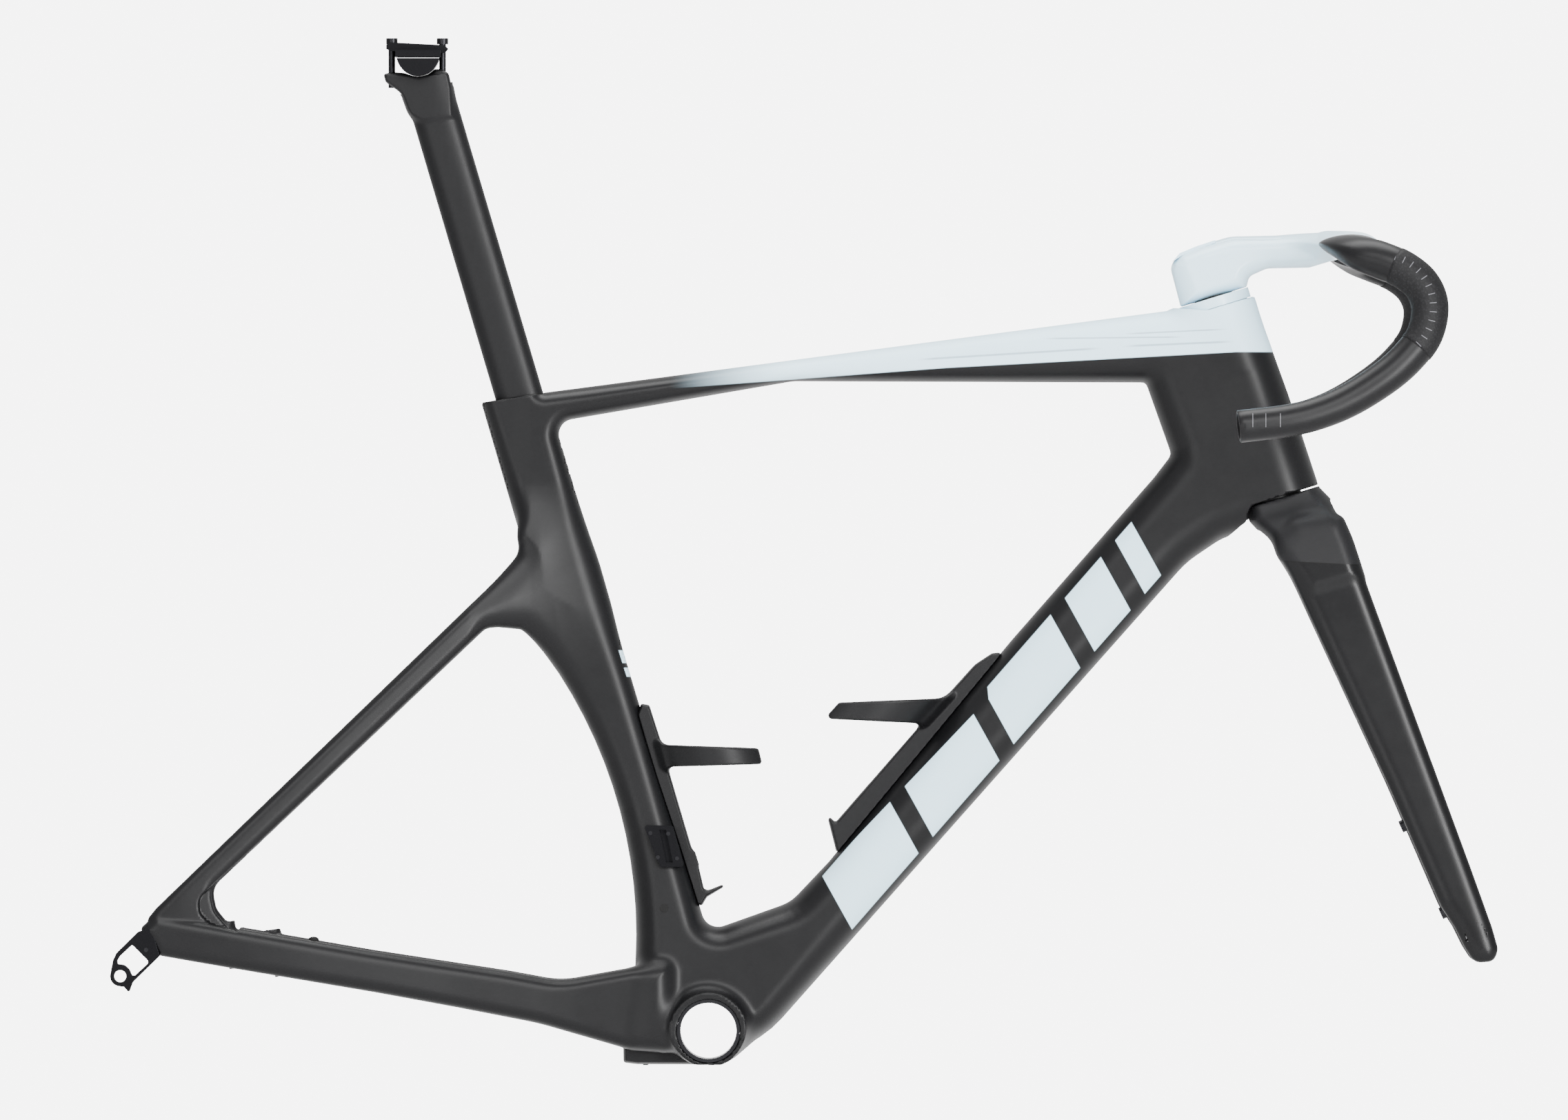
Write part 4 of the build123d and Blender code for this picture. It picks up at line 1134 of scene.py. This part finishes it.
def bar_carbon():
    """Matte carbon of the drops, with three fine marks near each bar end."""
    material, tree, shader = started_dark("bar_carbon", CARBON, 0.42)
    fibre = noise(tree, 300, 4.0)
    x, y, z = places_mm(tree)
    marks = 0.0
    for place in (396.1, 405.6, 416.2):
        marks = maths(tree, "ADD", between(tree, x, place - 0.2, place + 0.2, 0.15), marks)
    side = maths(tree, "GREATER_THAN", maths(tree, "ABSOLUTE", y), 214.0)
    marks = times(tree, marks, between(tree, z, 441, 451), side)
    color = mixed(tree, fibre, CARBON, toned(CARBON, 1.5))
    painted(tree, shader, mixed(tree, marks, color, (0.12, 0.12, 0.13)))
    varied(tree, shader, fibre, 0.34, 0.42)
    bumped(tree, shader, fibre, 0.00002, 0.2)
    return material


def grip_texture():
    """Textured grip zone: small raised cells, with painted shade in the sunken grooves between them."""
    material, tree, shader = started_dark("grip_texture", CARBON, 0.6)
    cells = tree.nodes.new("ShaderNodeTexVoronoi")
    cells.inputs["Scale"].default_value = 1.0
    tree.links.new(scaled(tree, 520), cells.inputs["Vector"])
    raised = rising(tree, cells.outputs["Distance"], 0.25, 0.55)
    x, y, z = places_mm(tree)
    # painted shade: the colour darkens where the cells sink into grooves, lighter on the raised cell tops
    color = mixed(tree, raised, (0.0075, 0.0075, 0.0082), (0.0045, 0.0045, 0.005))
    color = mixed(tree, grip_ticks(tree, x, y, z), color, (0.10, 0.10, 0.11))
    painted(tree, shader, color)
    bumped(tree, shader, maths(tree, "SUBTRACT", 1.0, raised), 0.00012, 0.5)
    return material


def black_plastic():
    """Moulded black plastic with a fine even grain."""
    material, tree, shader = started_dark("black_plastic", (0.004, 0.004, 0.0045), 0.45)
    grain = noise(tree, 1500, 2.0)
    varied(tree, shader, grain, 0.38, 0.52)
    bumped(tree, shader, grain, 0.00005, 0.35)
    return material


def black_rubber():
    """Dull rubber with a dusty bloom."""
    material, tree, shader = started_dark("black_rubber", (0.004, 0.004, 0.004), 0.75)
    bloom = noise(tree, 220)
    color = mixed(tree, bloom, (0.0035, 0.0035, 0.0035), (0.007, 0.007, 0.007))
    painted(tree, shader, color)
    varied(tree, shader, bloom, 0.65, 0.85)
    return material


def metal(name, color, low, high, factors):
    """Machined metal with tool marks along one direction."""
    material, tree, shader = started(name, color, low, 1.0)
    marks = noise(tree, factors, 4.0)
    painted(tree, shader, mixed(tree, marks, color, toned(color, 0.8)))
    varied(tree, shader, marks, low, high)
    bumped(tree, shader, marks, 0.00002, 0.3)
    return material


# --- carried hardware ---
HARDWARE = {
    "alloy": (
        "bb_sleeve", "rear_axle_insert", "rear_brake_inserts", "clamp_shoe", "clamp_wedge",
        "bottle_bosses", "front_axle_insert", "front_brake_inserts", "expander",
    ),
    "black_metal": (
        "front_derailleur_mount", "saddle_cradle", "saddle_rail_clamp", "compression_ring",
    ),
    "steel": (
        "hanger_bolt", "derailleur_mount_screws", "clamp_bolt", "saddle_clamp_bolts",
        "saddle_barrel_nuts", "cage_bolts", "port_cover_screws", "upper_bearing_outer",
        "upper_bearing_inner", "upper_bearing_balls", "lower_bearing_outer", "lower_bearing_inner",
        "lower_bearing_balls",
    ),
    "black_rubber": ("wire_port_plug", "post_seal"),
    "black_plastic": ("stem_top_cover",),
    "carbon_matte": ("steerer",),
    "frame_paint": ("headset_cover",),
}
WHITE_HARDWARE = ("headset_cover", "stem_top_cover")
DARK_STEEL = (
    "bb_sleeve", "rear_brake_inserts", "front_brake_inserts", "hanger_bolt", "cage_bolts",
    "port_cover_screws", "derailleur_mount_screws", "saddle_clamp_bolts", "saddle_barrel_nuts",
)
EDGED = (
    "front_derailleur_mount", "saddle_cradle", "saddle_rail_clamp", "headset_cover",
    "saddle_clamp_bolts", "bb_sleeve", "cage_bolts", "stem_top_cover", "front_brake_inserts",
)


def dress_hardware(looks):
    """Materials and broken edges for the CAD nodes that are shown as they are."""
    for slot, names in HARDWARE.items():
        for name in names:
            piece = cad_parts[name]
            look = looks["dark_steel"] if name in DARK_STEEL else looks[slot]
            piece.data.materials.clear()
            piece.data.materials.append(looks["white_paint"] if name in WHITE_HARDWARE else look)
            if name in EDGED:
                bevel = piece.modifiers.new("broken_edges", "BEVEL")
                bevel.width = 0.4 * MM
                bevel.segments = 2
                bevel.limit_method = "ANGLE"
                bevel.angle_limit = math.radians(50)


# --- studio ---
FLOOR_HEIGHT = -0.3
LENS_MM = 940.5
CAMERA_PLACE = (0.0553, -30, 0.3444)
SOFT_LIGHTS = (
    ("key", (0.3, -3.2, 2.2), (0.05, 0, 0.35), (2.4, 1.2), 120),
    ("top", (0.0, 0.2, 2.8), (0.05, 0, 0.35), (2.4, 1.6), 130),
    ("front_strip", (1.9, -3.05, 0.5), (0.05, 0, 0.3), (0.5, 2.4), 230),
    ("low", (-1.4, -3.2, 0.5), (0.05, 0, 0.25), (1.6, 0.6), 30),
)


def build_floor():
    """Plain pale floor."""
    mesh = bpy.data.meshes.new("floor")
    corners = [(x, y, FLOOR_HEIGHT) for x, y in ((-12, -14), (12, -14), (12, 5), (-12, 5))]
    mesh.from_pydata(corners, [], [(0, 1, 2, 3)])
    material, tree, shader = started("floor_paint", (0.85, 0.85, 0.85), 0.9)
    varied(tree, shader, noise(tree, 4), 0.85, 0.95)
    mesh.materials.append(material)
    floor = bpy.data.objects.new("floor", mesh)
    bpy.context.scene.collection.objects.link(floor)


def build_world():
    """White studio surround, brightest behind the frame."""
    world = bpy.data.worlds.new("studio")
    bpy.context.scene.world = world
    world.use_nodes = True
    tree = world.node_tree
    background = tree.nodes["Background"]
    background.inputs["Color"].default_value = (1, 1, 1, 1)
    split = tree.nodes.new("ShaderNodeSeparateXYZ")
    tree.links.new(tree.nodes.new("ShaderNodeTexCoord").outputs["Generated"], split.inputs[0])
    behind = rising(tree, split.outputs["Y"], 0.988, 0.995)
    tree.links.new(fused(tree, behind, 5.5, 1.1), background.inputs["Strength"])


def soft_light(name, place, target, size, power):
    """A soft box, width by height, that looks at a target."""
    light = bpy.data.lights.new(name, "AREA")
    light.shape = "RECTANGLE"
    light.size, light.size_y = size
    light.energy = power
    holder = bpy.data.objects.new(name, light)
    holder.location = place
    holder.rotation_euler = (Vector(target) - Vector(place)).to_track_quat("-Z", "Y").to_euler()
    bpy.context.scene.collection.objects.link(holder)


def build_camera():
    """Very long lens square to the frame's right side."""
    lens = bpy.data.cameras.new("camera")
    lens.lens = LENS_MM
    lens.clip_end = 100
    camera = bpy.data.objects.new("camera", lens)
    camera.location = CAMERA_PLACE
    camera.rotation_euler = (math.radians(90), 0, 0)
    bpy.context.scene.collection.objects.link(camera)
    bpy.context.scene.camera = camera


# --- the whole scene ---
looks = {
    "alloy": metal("alloy", (0.25, 0.25, 0.26), 0.22, 0.38, (300, 2500, 300)),
    "steel": metal("steel", (0.18, 0.18, 0.19), 0.2, 0.35, 900),
    "dark_steel": metal("dark_steel", (0.02, 0.02, 0.022), 0.3, 0.42, 900),
    "black_metal": metal("black_metal", (0.009, 0.009, 0.010), 0.35, 0.48, 700),
    "black_rubber": black_rubber(),
    "black_plastic": black_plastic(),
    "carbon_matte": matte_carbon("matte_carbon", (260, 260, 60)),
    "frame_paint": frame_paint(),
    "white_paint": white_paint(),
    "bar": bar_carbon(),
    "grip": grip_texture(),
}
build_frame_shell(looks["frame_paint"])
build_fork_shell(fork_paint())
build_seatpost(looks["carbon_matte"])
build_cockpit(looks["white_paint"])
for side in (-1, 1):
    bar_drop(side, looks)
build_cage(DOWN_CAGE, looks["black_plastic"])
build_cage(SEAT_CAGE, looks["black_plastic"])
build_port_cover(looks["black_plastic"])
build_hanger(looks["black_metal"])
build_hose_plug(looks["black_rubber"])
dress_hardware(looks)
build_floor()
build_world()
for light in SOFT_LIGHTS:
    soft_light(*light)
build_camera()
